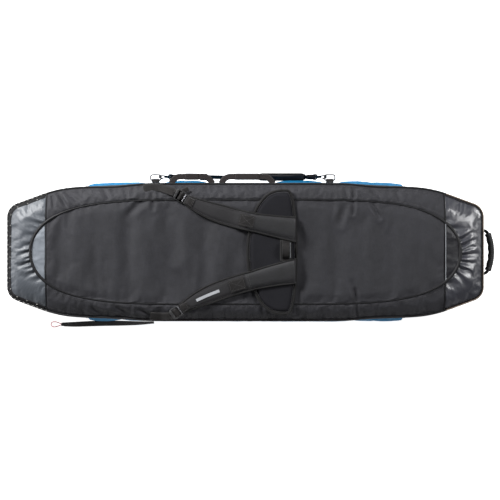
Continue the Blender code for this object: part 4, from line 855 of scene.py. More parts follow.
def seams(panels):
    line = spaced(oval_line(), step=0.0045, closed=True)
    thick = 0.0017 + 0.0026 * ease(0.50, 0.612, np.abs(line[:, 0]))
    round_cord("oval_piping_bead", plan3(line, TOP_Z - 0.0006), thick, "piping", "back_shell", True,
               ("oval_piping",), squash=0.75)
    round_cord("oval_seam_inside", plan3(line, 0.1452), 0.0056, "piping", "back_shell", True, squash=0.42)
    for end, sign in ENDS:
        tip = panels[f"{end}_tip"][0]
        ends = [panels[side][0 if sign < 0 else -1] for side, _ in SIDES]
        run = np.concatenate([ends[0][::-1], panels["centre"][0 if sign < 0 else -1][::-1], ends[1]])
        run = run[(np.abs(np.abs(run[:, 1]) - oval_width(CROSS_X)) > 0.004)]
        run[:, 0] = sign * CROSS_X
        run[:, 2] += 0.0008
        round_cord(f"cross_seam_{end}", spaced(run, step=0.004), 0.0011 if sign < 0 else 0.0009, "piping",
                   "back_shell", sides=8)
        under = spaced(run, step=0.004) - (0, 0, 0.0046)
        round_cord(f"cross_seam_inside_{end}", under[1:-1], 0.0052, "piping", "back_shell", squash=0.42)
        if sign > 0:
            # the welt along the tail's cross seam, light grey as a painted highlight
            light = tip + np.array((0.0012, 0, 0.0016))
            round_cord("cross_welt_tail", spaced(light, step=0.004), 0.0012, "welt", "back_shell", sides=8)
    edge_rows = []
    for side, _ in SIDES:
        grid = panels[side]
        up = upward_normals(grid)
        edge_rows += [(grid[:, k] + up[:, k] * 0.0002, up[:, k]) for k in (12, 2)]
    stitches("border_topstitch", edge_rows, "thread", "back_shell")


def edge_band(grid, width):
    """The strip of a panel's grid within width of its outer edge, the outer edge last."""
    made = []
    for row in grid:
        row = row if np.abs(row[0, :2]).max() > np.abs(row[-1, :2]).max() else row[::-1]
        made.append(at_lengths(row, np.linspace(width, 0, 5)))
    return np.array(made)


def edge_trim(panels):
    """The taped edge of the back panel, its piping, and the wall below it."""
    line = whole_outline(0.0055)
    away = outward(line, True)
    plain = line
    line = line - away * edge_dip(line[:, 0])[:, None] * (np.abs(line[:, 0]) < CROSS_X)[:, None]
    round_cord("edge_piping_bead", plan3(line, 0.1215), 0.0030, "piping", "back_shell", True,
               ("back_edge_piping",))
    round_cord("edge_seam_inside", plan3(line - away * 0.0050, 0.1200), 0.0044, "binding", "back_shell", True,
               squash=0.8)
    z = np.array([0.1190, 0.1175, 0.1145, 0.1110, 0.1080, ZIP_TOP_Z])
    bulge = np.array([0.0000, 0.0010, 0.0024, 0.0026, 0.0016, 0.0002])
    high = ease(ZIP_TOP_Z, 0.1175, z)
    rows = [plan3(line * w + plain * (1 - w) + away * b, h) for b, h, w in zip(bulge, z, high)]
    grid = np.stack(rows, axis=1)
    key = plan3(circle(len(line)) * 40, 0.0)
    grid[:, 1:-1, :2] += away[:, None] * (rough_noise(key, 1.0, 71) * 0.0008)[:, None, None]
    inner = (grid - plan3(away, 0.0)[:, None] * 0.0052)[:, ::-1]
    mesh = grid_mesh("back_gusset", np.concatenate([grid, inner], axis=1), True, True)
    keep("back_gusset_cloth", mesh, "gusset", "back_shell", ("back_gusset",), 0)
    for end, sign in ENDS:
        rows = edge_band(panels[end], 0.0112 if sign < 0 else 0.0060)
        up = upward_normals(rows)
        band = rows + up * 0.0009
        keep(f"edge_tape_{end}", slab(f"edge_tape_{end}", band, 0.0016, DOWN), "tape", "back_shell")
        lift = rows[:, 1] + up[:, 1] * 0.0012
        # at the nose the pale stitches are painted glints
        look, gap = ("pale", 0.0290) if sign < 0 else ("thread", 0.0050)
        stitches(f"edge_tape_stitch_{end}", [(lift, up[:, 3])], look, "back_shell", 0.0040, gap, 0.0006)
    end = end_line(0.600, 1, 0.004)
    lip = outward(end, False)
    for name, look, off, z_at, r in (("tail_trim_cream", "pale", 0.0016, 0.1242, 0.0009),
                                     ("tail_trim_tan", "tan", 0.0002, 0.1238, 0.0016)):
        run = plan3(end + lip * off, z_at)
        round_cord(name, run[4:-4], r, look, "back_shell", sides=8)
    # pale dashes along the nose's piping: painted glints
    run = plan3(end_line(0.600, -1, 0.004), 0.1246)
    stitches("nose_piping_glints", [(run, UP)], "pale", "back_shell", 0.0060, 0.0085, 0.0006)


# ---- Zip ----
def zip_line(step):
    tail = QUARTER[QUARTER[:, 0] > WEB_X]
    start = np.concatenate([[(WEB_X, half_width(WEB_X))], tail])
    half = np.concatenate([QUARTER[QUARTER[:, 0] < WEB_X], start])
    right = np.concatenate([half, start[-2::-1] * (1, -1)])
    left = right[:0:-1] * (-1, 1)
    return spaced(np.concatenate([left, right]), step=step)


def zip_halves():
    line = zip_line(0.006)
    away = outward(line, False)
    for side, body, low, high in (("front", "front_shell", ZIP_LOW_Z, 0.0952),
                                  ("back", "back_shell", 0.0988, ZIP_TOP_Z)):
        z = np.linspace(low, high, 6)
        if side == "front":
            z = z[::-1]
        grid = np.stack([plan3(line - away * 0.0012, h) for h in z], axis=1)
        inward = -plan3(away, 0.0)[:, None]
        mesh = slab(f"{side}_tape", grid, 0.0014, inward)
        keep(f"{side}_zip_tape_woven", mesh, "tape", body, (f"{side}_zip_tape",))
        pitch = 0.0026
        count = int(2.62 / pitch)
        teeth = spaced(line, count=count)
        if side == "back":
            teeth = (teeth[:-1] + teeth[1:]) / 2
        normal = outward(teeth, False)
        along = directions(teeth)
        tall = (0.0944, 0.0974) if side == "front" else (0.0966, 0.0996)
        box = [(-0.42, 0.10), (-0.42, 0.78), (-0.25, 1.0), (0.25, 1.0), (0.42, 0.78), (0.42, 0.10),
               (0.25, 0.0), (-0.25, 0.0)]
        verts, faces = [], []
        for place, out, way in zip(teeth, normal, along):
            base = len(verts)
            for z_at in tall:
                for u, w in box:
                    p = place + way * u * pitch * 0.80 + out * (-0.0036 + 0.0034 * w)
                    verts.append((p[0], p[1], z_at))
            faces += [tuple(range(base, base + 8)), tuple(range(base + 8, base + 16))]
            faces += [(base + j, base + (j + 1) % 8, base + 8 + (j + 1) % 8, base + 8 + j) for j in range(8)]
        keep(f"{side}_zip_teeth", mesh_of(f"{side}_teeth", verts, faces), "coil", body, (f"{side}_zip_coil",),
             sharp=35)


# ---- Front shell ----
BULGES = {  # how far each side gusset bulges, by x
    1: ((-0.487, 0.0085), (-0.462, 0.0125), (-0.400, 0.0105), (-0.335, 0.0085), (-0.300, 0.0045),
        (-0.262, 0.0045), (-0.238, 0.0085), (-0.200, 0.0120), (-0.150, 0.0110), (-0.105, 0.0055),
        (0.000, 0.0045), (0.080, 0.0050), (0.120, 0.0110), (0.190, 0.0120), (0.235, 0.0080),
        (0.248, 0.0045), (0.277, 0.0045), (0.300, 0.0095), (0.350, 0.0130), (0.400, 0.0120),
        (0.450, 0.0115), (0.487, 0.0100)),
    -1: ((-0.487, 0.0100), (-0.460, 0.0125), (-0.425, 0.0105), (-0.385, 0.0060), (-0.330, 0.0045),
         (0.000, 0.0050), (0.330, 0.0060), (0.385, 0.0090), (0.430, 0.0125), (0.470, 0.0125),
         (0.487, 0.0110)),
}
LEVELS = np.array([0.0072, 0.0085, 0.0120, 0.0175, 0.0240, 0.0310, 0.0390, 0.0470, 0.0550, 0.0625,
                   0.0695, 0.0760, 0.0815, 0.0855, 0.0878])
WALL_SHAPE = np.sin(np.pi * (LEVELS - LEVELS[0]) / (LEVELS[-1] - LEVELS[0])) ** 0.8


def wall_grid(line, bulge, seed, fold):
    away = outward(line, False)
    grid = np.stack([plan3(line, z) for z in LEVELS], axis=1)
    flat = plan3(away, 0.0)[:, None]
    off = bulge[:, None] * WALL_SHAPE + WALL_SHAPE * folds(grid, fold, seed, (14, 14, 22))
    return grid + flat * off[..., None], flat


def front_walls():
    for side, sign in SIDES:
        x = np.linspace(-BLUE_X + 0.0002, BLUE_X - 0.0002, 196) * sign
        line = np.stack([x, sign * half_width(x)], axis=1)
        table = np.array(BULGES[sign])
        grid, flat = wall_grid(line, np.interp(x, table[:, 0], table[:, 1]), 81 + sign, 0.0009)
        grid = drape(grid[:, ::-1], limit=0.0022, grow=0.012)[:, ::-1]
        limit = np.where(np.minimum(*(np.abs(x - place) for place in RINGS.values())) < 0.014,
                         half_width(x) + 0.0052, 1.0) if sign > 0 else np.full(len(x), 1.0)
        grid[..., 1] = np.where(np.abs(grid[..., 1]) > limit[:, None], sign * limit[:, None], grid[..., 1])
        mesh = slab(f"wall_{side}", grid[:, ::-1], WALL_THICK, -flat)
        keep(f"front_gusset_{side}_cloth", mesh, "blue", "front_shell", (f"front_gusset_{side}",), 1)
    for end, sign in (("tail", 1), ("nose", -1)):
        line = end_line(BLUE_X + 0.0002, sign)
        grid, flat = wall_grid(line, np.full(len(line), 0.0034), 91 + sign, 0.0008)
        grid = drape(grid[:, ::-1], limit=0.0020, grow=0.010)[:, ::-1]
        mesh = slab(f"wall_{end}", grid[:, ::-1], WALL_THICK, -flat)
        keep(f"front_gusset_{end}_cloth", mesh, "gusset", "front_shell", (f"front_gusset_{end}",), 1)
    rows = []
    for end, sx in ENDS:
        for side, sy in (("hinge", -1), ("handle", 1)):
            x = sx * BLUE_X
            y = sy * (half_width(x) + 0.0060 * WALL_SHAPE + 0.0002)
            run = np.stack([np.full(len(LEVELS), x), y, LEVELS], axis=1)
            up = (0, sy, 0.01)
            round_cord(f"gusset_seam_{end}_{side}", run, 0.0012, "piping", "front_shell", sides=8, up=up)
            inside = run[1:-1] - (0, sy * 0.0046, 0)
            round_cord(f"gusset_seam_inside_{end}_{side}", inside, 0.0048, "binding", "front_shell", up=up,
                       squash=0.5)
            rows.append((run + np.array((sx * 0.006, sy * 0.0002, 0)), np.array((0, sy, 0.0))))
    stitches("gusset_seam_stitches", rows, "thread", "front_shell")


def plate_grid(inset, z, rows=150, cols=44):
    """The whole plan as a grid, inset from the outline."""
    x = np.linspace(-1, 1, rows) * (HALF_LENGTH - inset)
    wide = half_width(x) - inset
    return flat_grid(x, wide, cols, z), wide


def front_panel():
    low, wide = plate_grid(0.0034, 0.0)
    apart = np.minimum(wide[:, None] - np.abs(low[..., 1]), (HALF_LENGTH - 0.0034 - np.abs(low[..., 0])))
    waves = np.maximum(0, folds(low, 1.0, 101, (7, 9, 1)))
    low[..., 2] = 0.0022 * (1 - ease(0, 0.014, apart)) + ease(0.004, 0.03, apart) * 0.0011 * waves
    top = low.copy()
    top[..., 2] = 0.0056
    mesh = grid_mesh("front_panel", np.concatenate([low, top[:, ::-1]], axis=1), round_v=True)
    keep("front_panel_cloth", mesh, "black", "front_shell", ("front_panel",), 0)
    line = whole_outline(0.0055)
    round_cord("front_piping_bead", plan3(line, 0.0038), 0.0030, "piping", "front_shell", True,
               ("front_piping",))
    lining, _ = plate_grid(0.0080, 0.0078, 120, 36)
    lining[..., 2] -= 0.0002 + 0.0002 * folds(lining, 1.0, 111, (20, 20, 1))
    mesh = slab("front_lining", lining, 0.0010, DOWN)
    made = keep("front_lining_cloth", mesh, "lining", "front_shell", ("front_lining",))


def back_lining():
    x = np.linspace(-0.648, 0.648, 110)
    grid = flat_grid(x, np.maximum(oval_width(x) - 0.0105, 0.02), 34, 0.1422)
    grid[..., 2] -= 0.0004 * (0.5 + folds(grid, 0.5, 121, (16, 16, 1)))
    made = keep("back_lining_cloth", slab("back_lining", grid, 0.0010, DOWN), "lining", "back_shell",
                ("back_lining",))


def hinge_web():
    """The fabric that joins the two shells along the hinge side."""
    x = np.linspace(-WEB_X + 0.003, WEB_X - 0.003, 120)
    z = np.linspace(ZIP_LOW_Z, ZIP_TOP_Z + 0.0002, 12)
    line = np.stack([x, -half_width(x)], axis=1)
    away = outward(line[::-1], False)[::-1]
    puff = 0.0016 * np.sin(np.linspace(0, np.pi, 12))
    grid = np.stack([plan3(line + away * p, h) for p, h in zip(puff, z)], axis=1)
    flat = plan3(away, 0.0)[:, None]
    mesh = slab("hinge_web", grid, 0.0018, -flat)
    made = keep("hinge_web_cloth", mesh, "gusset", None, ("hinge_web",))
    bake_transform(made)


# ---- Harness ----
def cubic(points, t):
    a, b, c, d = (np.array(p) for p in points)
    s = 1 - t
    place = a * s**3 + b * (3 * s * s * t) + c * (3 * s * t * t) + d * t**3
    along = (b - a) * (3 * s * s) + (c - b) * (6 * s * t) + (d - c) * (3 * t * t)
    return place, along / np.linalg.norm(along)


def strap_frame(curve, t):
    place, along = cubic(curve, t)
    across = np.array((-along[1], along[0]))
    across = across * min(1, t * 24) + np.array((0, -1.0)) * (1 - min(1, t * 24))
    return place, along, across / np.linalg.norm(across)


def strap_base(x):
    return 0.1627 - 0.0101 * float(ease(0, 1, (0.008 - x) / 0.050))


def strap_width(t):
    return 0.079 - 0.019 * min(1.0, t / 0.35) if t < 0.65 else 0.060 - 0.030 * ((t - 0.65) / 0.35) ** 1.5


def strap_tall(t):
    return STRAP_TALL * (1 - 0.42 * float(ease(0.955, 1.0, t)))


def strap_top(t, v):
    """Height of the crowned strap over its underside, v from -1 to 1 across it."""
    groove = np.exp(-(((np.abs(v) - 0.80) / 0.075) ** 2))
    return strap_tall(t) * (0.40 + 0.60 * (1 - np.abs(v) ** 2.8) - 0.26 * groove)


def on_strap(curve, t, off, lift=0.0):
    """A point on a strap's top, off metres from its centreline."""
    place, _, across = strap_frame(curve, t)
    v = np.clip(off / (strap_width(t) / 2), -1, 1)
    p = place + across * off
    return np.array((p[0], p[1], strap_base(place[0]) + strap_top(t, v) + lift))


def strap_patch(name, curve, span, half, thick, look, body, replaces=(), steps=24, taper=None):
    """A flat piece that lies on a strap's crowned top: its points, for stitching."""
    rows = []
    for t in np.linspace(*span, steps):
        wide = half if taper is None else min(half, strap_width(t) / 2 - taper)
        rows.append([on_strap(curve, t, off, PATCH_LIFT + thick) for off in np.linspace(-wide, wide, 11)])
    grid = np.array(rows)
    keep(name, slab(name, grid, thick, DOWN), look, body, replaces, sharp=50)
    return grid


def shoulder_strap(side, curve):
    body = f"{side}_strap"
    stations = np.linspace(0, 1, 72)
    rows = []
    for t in stations:
        place, _, across = strap_frame(curve, t)
        v = np.sin(np.linspace(-1, 1, 15) * math.pi / 2)
        half, base = strap_width(t) / 2 - 0.0014, strap_base(place[0])
        key = np.array([[place[0] * 30, a * 3, 0] for a in v])
        rise = strap_top(t, v) + 0.0005 * rough_noise(key, 1.0, 131) * (1 - v**2)
        top = [(*(place + across * half * a), base + h) for a, h in zip(v, rise)]
        low = [(*(place + across * half * a), base + 0.0002) for a in v[::-1]]
        rows.append(top + low)
    keep(f"shoulder_strap_{side}_pad", grid_mesh(f"strap_{side}", rows, round_v=True), "strap", body,
         (f"shoulder_strap_{side}",), 0)
    lines = []
    for edge in (-1, 1):
        path, out = [], []
        for t in stations:
            place, _, across = strap_frame(curve, t)
            p = place + across * edge * (strap_width(t) / 2 - 0.0030)
            path.append((p[0], p[1], strap_base(place[0]) + 0.0027))
            out.append((*(across * edge), 0))
        section = circle(12) * (0.0030, 0.0027)
        section[:, 1] += 0.0007 * (section[:, 1] > 0)
        swept(f"strap_binding_{side}_{'a' if edge < 0 else 'b'}", path, out, UP, section, "binding", body)
        sewn = np.array([on_strap(curve, t, edge * (strap_width(t) / 2 - 0.0076), 0.0002) for t in stations])
        lines.append((sewn, UP))
    stitches(f"strap_stitches_{side}", lines, "thread", body)
    # the smooth panel over the yoke, its seam, and the webbing that wraps the buckle end
    yoke_end = 0.42 if side == "upper" else 0.40
    grid = strap_patch(f"strap_yoke_{side}", curve, (0.012, yoke_end), 0.040, 0.0009, "yoke", body,
                       taper=0.0064, steps=34)
    lines = [grid[-2], grid[-3]]
    span = (0.915, 0.992)
    grid = strap_patch(f"strap_wrap_{side}", curve, span, 0.0130, 0.0014, "webbing", body)
    lines += [grid[1], grid[5], grid[:, 1], grid[:, -2]]
    first, last = {"upper": (9, 12), "lower": (10, 13)}[side]
    span = (first / 24, last / 24)
    grid = strap_patch(f"strap_patch_{side}_webbing", curve, span, 0.0180, 0.0018, "webbing", body,
                       (f"strap_patch_{side}",))
    m = len(grid) - 1
    lines += [grid[1, 1:-1], grid[-2, 1:-1], grid[1:-1, 1], grid[1:-1, -2]]
    down = [round(1 + (m - 2) * k / 8) for k in range(9)]
    lines += [grid[down, range(1, 10)], grid[down, range(9, 0, -1)]]
    stitches(f"strap_box_stitches_{side}", [(line, UP) for line in lines], "thread", body, radius=0.00055)


def harness():
    for side, curve in CURVES.items():
        shoulder_strap(side, curve)
        buckle(side, curve)
    strap_patch("reflective_label_strip", LOWER, (15 / 24, 20 / 24), 0.0044, 0.0008, "label", "lower_strap",
                ("reflective_label",))
    lumbar_pad()
    haul_loop()


def buckle(side, curve):
    place, along, across = strap_frame(curve, 1.0)
    base = strap_base(place[0]) + 0.0006
    refine(f"ladder_lock_{side}", "plastic", 0.0010, 3)
    start = place + along * 0.0025

    def local(u, v, z):
        p = start + along * u + across * v
        return np.array((p[0], p[1], base + z))

    bar = np.array([local(0.0022, v, 0.0052) for v in np.linspace(-0.0140, 0.0140, 9)])
    round_cord(f"lock_bar_{side}", bar, 0.0009, "silver", f"{side}_buckle", sides=10)
    # webbing threaded up through the first slot, over the middle bar and down through the second
    threaded = ((-0.004, 0.0010), (0.0060, 0.0004), (0.0100, 0.0030), (0.0130, 0.0064), (0.0160, 0.0066),
                (0.0200, 0.0040), (0.0240, 0.0006), (0.0300, -0.0002), (0.0400, 0.0000))
    run = [local(u, 0, z) for u, z in threaded]
    flat_strap(f"webbing_turn_{side}", rounded(run, 0.004), 0.0240, 0.0016, "webbing", f"{side}_buckle")
    # the webbing from the buckle to the seam
    end = np.array(ANCHORS[side])
    sy = 1 if end[1] > 0 else -1
    begin = place + along * 0.0370
    points = []
    for s in np.linspace(0, 1, 30):
        p = begin * (1 - s) + end * s
        bow = (0.009 if side == "upper" else -0.002) * math.sin(math.pi * s)
        p = p + np.array((0, bow))
        inner, outer = float(oval_width(p[0])), float(half_width(p[0]))
        share = np.clip((abs(p[1]) - inner) / (outer - inner), 0, 1)
        puff = 0.0058 * math.sin(math.pi * share**0.85) if share > 0 else 0
        level = TOP_Z + (EDGE_Z - TOP_Z) * share + puff + 0.0030 + 0.0006 * math.sin(9 * s)
        points.append((p[0], p[1], level + (base + 0.0004 - level) * float(1 - ease(0, 0.55, s))))
    points = np.array(points)
    points[:, 2] = np.convolve(np.pad(points[:, 2], 2, "edge"), np.ones(5) / 5, "valid")
    lean = np.clip((np.abs(points[:, 1]) - OVAL_B + 0.02) / 0.03, 0, 1)[:, None]
    up = unit(UP * (1 - lean) + np.array((0, sy * 0.35, 1.0)) * lean)
    made = flat_strap(f"strap_webbing_{side}_woven", points, 0.0250, 0.0018, "webbing", None,
                      (f"strap_webbing_{side}",), up)
    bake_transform(made)
    if side == "upper":  # the loose tail of webbing under the buckle
        run = [local(0.020, -0.004, -0.0012), local(0.014, -0.022, -0.0010), local(0.006, -0.032, -0.0016)]
        path = spaced(rounded(run, 0.01), count=12)
        flat_strap("webbing_tail_upper", path, 0.0140, 0.0014, "webbing", "upper_buckle")


def pad_outline(count, inset=0.0):
    made = []
    for i in range(count):
        a = 2 * math.pi * i / count
        c = math.cos(a)
        x = 0.119 - 0.116 * abs(c) ** 0.8 if c < 0 else 0.119 + 0.040 * c**0.55
        made.append((x, 0.192 * math.sin(a)))
    line = spaced(made, count=count, closed=True)
    along = directions(line, True)
    return line - np.stack([along[:, 1], -along[:, 0]], axis=1) * inset


def lumbar_pad():
    low, high = 0.1522, 0.1622
    line = pad_outline(180, 0.0050)
    smaller = line + (np.array((0.081, 0)) - line) * 0.012
    rings = [*(plan3(line, z) for z in (0.1530, 0.1545, 0.1580)), plan3(smaller, 0.1592)]
    even, moved = inflate(stacked_rings("pad", rings), 0.0042, 0.0048)
    apart = np.min(np.linalg.norm(moved[:, None, :2] - pad_outline(90)[None], axis=2), axis=1)
    top = moved[:, 2] > 0.1560
    rim = 1 - ease(0.004, 0.020, apart)
    roof = high - 0.0002 - 0.0030 * rim
    moved[:, 2] = np.where(top, np.minimum(moved[:, 2], roof), np.maximum(moved[:, 2], low))
    moved[:, 2] -= np.where(top, 0.0014 * np.exp(-(((apart - 0.0125) / 0.0022) ** 2)), 0)
    settle(even, moved)
    keep("lumbar_pad_mesh", even, "pad", "back_shell", ("lumbar_pad",), 1)
    rim_line = plan3(pad_outline(220, 0.0042), 0.1568)
    away = pad_outline(220, 0.0) - pad_outline(220, 0.0042)
    away = unit(plan3(away, 0.0))
    swept("lumbar_pad_binding", rim_line, away, UP, circle(14) * (0.0042, 0.0032), "binding", "back_shell",
          closed=True)
    sewn = plan3(pad_outline(220, 0.0098), 0.1602)
    sewn = np.concatenate([sewn, sewn[:1]])
    stitches("lumbar_pad_stitches", [(sewn, UP)], "thread", "back_shell", radius=0.0006)


def haul_loop():
    x, middle, half, rise, foot = 0.123, 0.005, 0.0235, 0.0165, 0.1650
    arch = [(x, middle - half * math.cos(a), foot + rise * math.sin(a)) for a in np.linspace(0, math.pi, 26)]
    toes = [(x, middle - half - 0.0090, foot - 0.0006), (x, middle - half - 0.0035, foot - 0.0002)]
    path = [*toes, *arch, *[(x, 2 * middle - y, z) for _, y, z in reversed(toes)]]
    path = spaced(path, count=54)
    out = np.array((1.0, 0, 0))
    normal = np.cross(out, directions(path))
    normal = normal * np.where(normal[:, 2:] < -0.2, -1, 1)
    swept("haul_loop_webbing", path, out, normal, tape(0.0250, 0.0022), "webbing", "back_shell",
          ("haul_loop",))
    for k in (-1, 1):
        edge = path + out * 0.0104 * k + normal * 0.0012
        round_cord(f"haul_loop_rib_{'a' if k < 0 else 'b'}", edge[3:-3], 0.0008, "binding", "back_shell",
                   sides=8, up=(1, 0, 0))
    # a light grey strip along the loop's edge: a painted highlight
    light = np.array([(0.1362, y, 0.1640 + 0.0004 * math.cos(y * 90))
                      for y in np.linspace(-0.018, 0.028, 20)])
    round_cord("haul_loop_piping", light, 0.0013, "welt", "back_shell", sides=8)
    plate = np.array([[(px, py, 0.1636) for px in np.linspace(0.105, 0.141, 9)]
                      for py in np.linspace(-0.028, 0.038, 16)])
    keep("haul_loop_base", slab("haul_base", plate, 0.0014, DOWN), "binding", "back_shell")


# ---- Carry handles ----
def carry_handles():
    for end, near, far in (("nose", -0.2385, -0.0915), ("tail", -0.0845, 0.0945)):
        root, out, z = 0.2105, 0.2316, 0.112
        leg, lean = 0.0095, 0.0185
        points = [(near + leg, root, z - 0.0006), (near + leg + 0.004, root + 0.007, z),
                  (near + leg + lean, out, z + 0.0004),
                  (far - leg - lean, out, z + 0.0004), (far - leg - 0.004, root + 0.007, z),
                  (far - leg, root, z - 0.0006)]
        path = spaced(rounded(points, 0.016, steps=9), step=0.0035)
        path[:, 2] += 0.0008 * np.sin(np.linspace(0, 5, len(path)))
        along = directions(path)
        across = unit(np.cross(along, UP))
        section = tape(1.0, 0.0030 / HANDLE_WIDE) * HANDLE_WIDE
        swept(f"carry_handle_{end}_webbing", path, across, UP, section, "handle",
              f"{end}_handle", (f"carry_handle_{end}",))
        lines = [(path[8:-8] + across[8:-8] * 0.0070 * k + UP * 0.0017, UP) for k in (-1, 1)]
        middle = (path[:, 0] > near + 0.050) & (path[:, 0] < far - 0.050)
        wrap = path[middle]
        sleeve = tape(0.0204, 0.0042, crown=0.0006)
        swept(f"carry_handle_{end}_wrap", wrap, across[middle], UP, sleeve, "handle", f"{end}_handle")
        for k in (2, -3):
            reach = across[middle][k] * 0.008
            lines.append((np.linspace(wrap[k] - reach, wrap[k] + reach, 8) + UP * 0.0030, UP))
        stitches(f"carry_handle_{end}_stitches", lines, "thread", f"{end}_handle")


# ---- Carry strap ----
OUT = np.array((0, math.cos(DROOP), -math.sin(DROOP)))
TALL = np.array((0, math.sin(DROOP), math.cos(DROOP)))


def hung(x, out, tall):
    """A point in the hanging strap's own axes."""
    x, out, tall = np.broadcast_arrays(np.asarray(x, float), out, tall)
    y, z = (ring + OUT[k] * out + TALL[k] * tall for k, ring in ((1, RING_Y), (2, RING_Z)))
    return np.stack([x, y, z], axis=-1)


def carry_strap():
    for end, ring_x in RINGS.items():
        corners = [(-0.016, 0.0), (-0.016, 0.019), (0.016, 0.019), (0.016, 0.0)]
        flat = rounded([(*c, 0.0) for c in corners], 0.0058, closed=True, steps=8)
        path = spaced(hung(ring_x + flat[:, 0], flat[:, 1], 0.0), count=64, closed=True)
        round_cord(f"ring_{end}_wire", path, 0.0023, "metal", "carry_strap", True, (f"ring_{end}",), 14, TALL)
        refine(f"snap_hook_{end}", "metal", 0.0009, 3)
        refine(f"hook_gate_{end}", "metal", 0.0005, 2)
        refine(f"ring_tab_{end}", "webbing", 0.0008, 3)
        face = 0.2176
        rows = [(np.array([(ring_x + k * 0.009, face + 0.0002, z) for z in np.linspace(0.038, 0.066, 8)]),
                 (0, 1, 0)) for k in (-1, 1)]
        rows += [(np.array([(ring_x + s, face + 0.0002, 0.052 + k * 0.0125)
                            for s in np.linspace(-0.009, 0.009, 6)]), (0, 1, 0)) for k in (-1, 1)]
        stitches(f"ring_tab_{end}_stitches", rows, "thread", "front_shell")
    x = np.linspace(CARRY_ENDS[0] + 0.0002, CARRY_ENDS[1] - 0.0002, 110)
    sway = 0.0010 * np.sin(x * 31) * bump_at(x, -0.04, 0.19)
    path = hung(x, STRAP_OUT + sway, 0.0006 * np.sin(x * 19))
    swept("carry_webbing_woven", path, TALL, OUT, tape(0.0250, 0.0018), "handle", "carry_strap",
          ("carry_webbing",))
    for end, at, sign in (("nose", CARRY_ENDS[0], 1), ("tail", CARRY_ENDS[1], -1)):
        # the webbing's end turned round the hook's bar and sewn back on itself
        flat = [(0.020, 0.0022), (0.002, 0.0026), (-0.0062, 0.0024), (-0.0078, 0.0), (-0.0062, -0.0024),
                (0.002, -0.0026), (0.020, -0.0022)]
        line = rounded([(sign * u, w, 0) for u, w in flat], 0.004, steps=6)
        path = spaced(hung(at + line[:, 0], STRAP_OUT + line[:, 1], 0.0), step=0.0018)
        along = directions(path)
        normal = unit(np.cross(along, TALL))
        swept(f"carry_end_{end}", path, TALL, normal, tape(0.0244, 0.0014), "handle", "carry_strap")
        u = np.linspace(0.005, 0.0165, 7)
        box = [(hung(at + sign * u, STRAP_OUT + 0.0030, k * 0.0095), OUT) for k in (-1, 1)]
        box += [(hung(at + sign * u, STRAP_OUT + 0.0030, k * np.linspace(-0.0095, 0.0095, 7)), OUT)
                for k in (-1, 1)]
        stitches(f"carry_end_{end}_stitches", box, "thread", "carry_strap")
    refine("triglide", "plastic", 0.0007, 3)
    carry_pad()


def carry_pad():
    centre, half, height = 0.112, 0.074, 0.023
    line = rounded([(sx * half, sz * height, 0) for sx, sz in ((-1, -1), (-1, 1), (1, 1), (1, -1))], 0.016,
                   closed=True, steps=8)[:, :2]
    line = spaced(line, count=90, closed=True)
    rings = [hung(centre + line[:, 0] * size, STRAP_OUT + out, line[:, 1] * size)
             for size, out in ((0.90, -0.0036), (0.95, -0.0020), (0.95, 0.0020), (0.90, 0.0036))]
    even, moved = inflate(stacked_rings("carry_pad", rings), 0.0050, 0.0042)
    out = (moved - hung(centre, STRAP_OUT, 0.0)) @ OUT
    moved -= (out - np.clip(out, -0.0066, 0.0066))[:, None] * OUT
    settle(even, moved)
    keep("carry_pad_cushion", even, "strap", "carry_strap_pad", ("carry_pad",), 1)
    rim = hung(centre + line[:, 0] * 0.985, STRAP_OUT, line[:, 1] * 0.975)
    round_cord("carry_pad_binding", rim, 0.0019, "binding", "carry_strap_pad", True, (), 10, OUT)


# ---- Tail end ----
def grip_x(y):
    return GRIP_X - GRIP_BOW * (y / GRAB_HALF) ** 2


def grab_handle():
    reach = GRAB_HALF - 0.008
    bowed = [(grip_x(y), y, GRAB_Z) for y in np.linspace(-reach, reach, 15)]
    path = [(GRAB_X, -GRAB_HALF, GRAB_Z), *bowed, (GRAB_X, GRAB_HALF, GRAB_Z)]
    path = spaced(rounded(path, 0.006), step=0.003)
    normal = unit(np.cross(directions(path), UP))
    aside = np.abs(path[:, 1:2])
    lean = np.radians(38) * ease(0.054, 0.060, aside) * (1 - ease(0.066, 0.0715, aside))
    across = UP * np.cos(lean) + normal * np.sin(lean)
    normal = np.cross(directions(path), across)
    swept("grab_webbing_woven", path, across, normal, tape(0.0140, 0.0022), "webbing", "grab_handle",
          ("grab_webbing",))
    y = np.linspace(-0.058, 0.058, 146)
    centre = np.stack([grip_x(y), y, np.full_like(y, GRAB_Z)], axis=1)
    side = unit(np.stack([np.ones_like(y), 2 * GRIP_BOW * y / GRAB_HALF**2, 0 * y], axis=1))
    collar = 0.0006 * ease(0.0485, 0.0500, np.abs(y)) - 0.0022 * ease(0.0545, 0.058, np.abs(y))
    ribs = 0.0005 * np.cos(y * 2 * math.pi / 0.0062) * (np.abs(y) < 0.0485)
    radius = 0.0098 + collar + ribs
    ring = circle(24)
    finger = 0.0010 * np.cos(y * 2 * math.pi / 0.024)[:, None] * np.maximum(0, -ring[:, 0])
    section = (radius[:, None] - finger)[..., None] * ring
    swept("grab_grip_ribbed", centre, side, UP, section, "rubber", "grab_handle", ("grab_grip",))
    for sy, tag in ((-1, "hinge"), (1, "handle")):
        flat = np.array([[(0.7312 + 0.0022 * math.sin(math.pi * k / 10), sy * (GRAB_HALF + (k - 5) * 0.0024), z)
                          for k in range(11)] for z in np.linspace(0.036, 0.064, 12)])
        keep(f"grab_anchor_{tag}", slab("anchor", flat, 0.0016, (-1, 0, 0)), "webbing", "front_shell")
        box = [(np.array([(0.7342, sy * GRAB_HALF + k, z) for z in np.linspace(0.039, 0.061, 6)]), (1, 0, 0))
               for k in (-0.0085, 0.0085)]
        stitches(f"grab_anchor_stitches_{tag}", box, "thread", "front_shell")


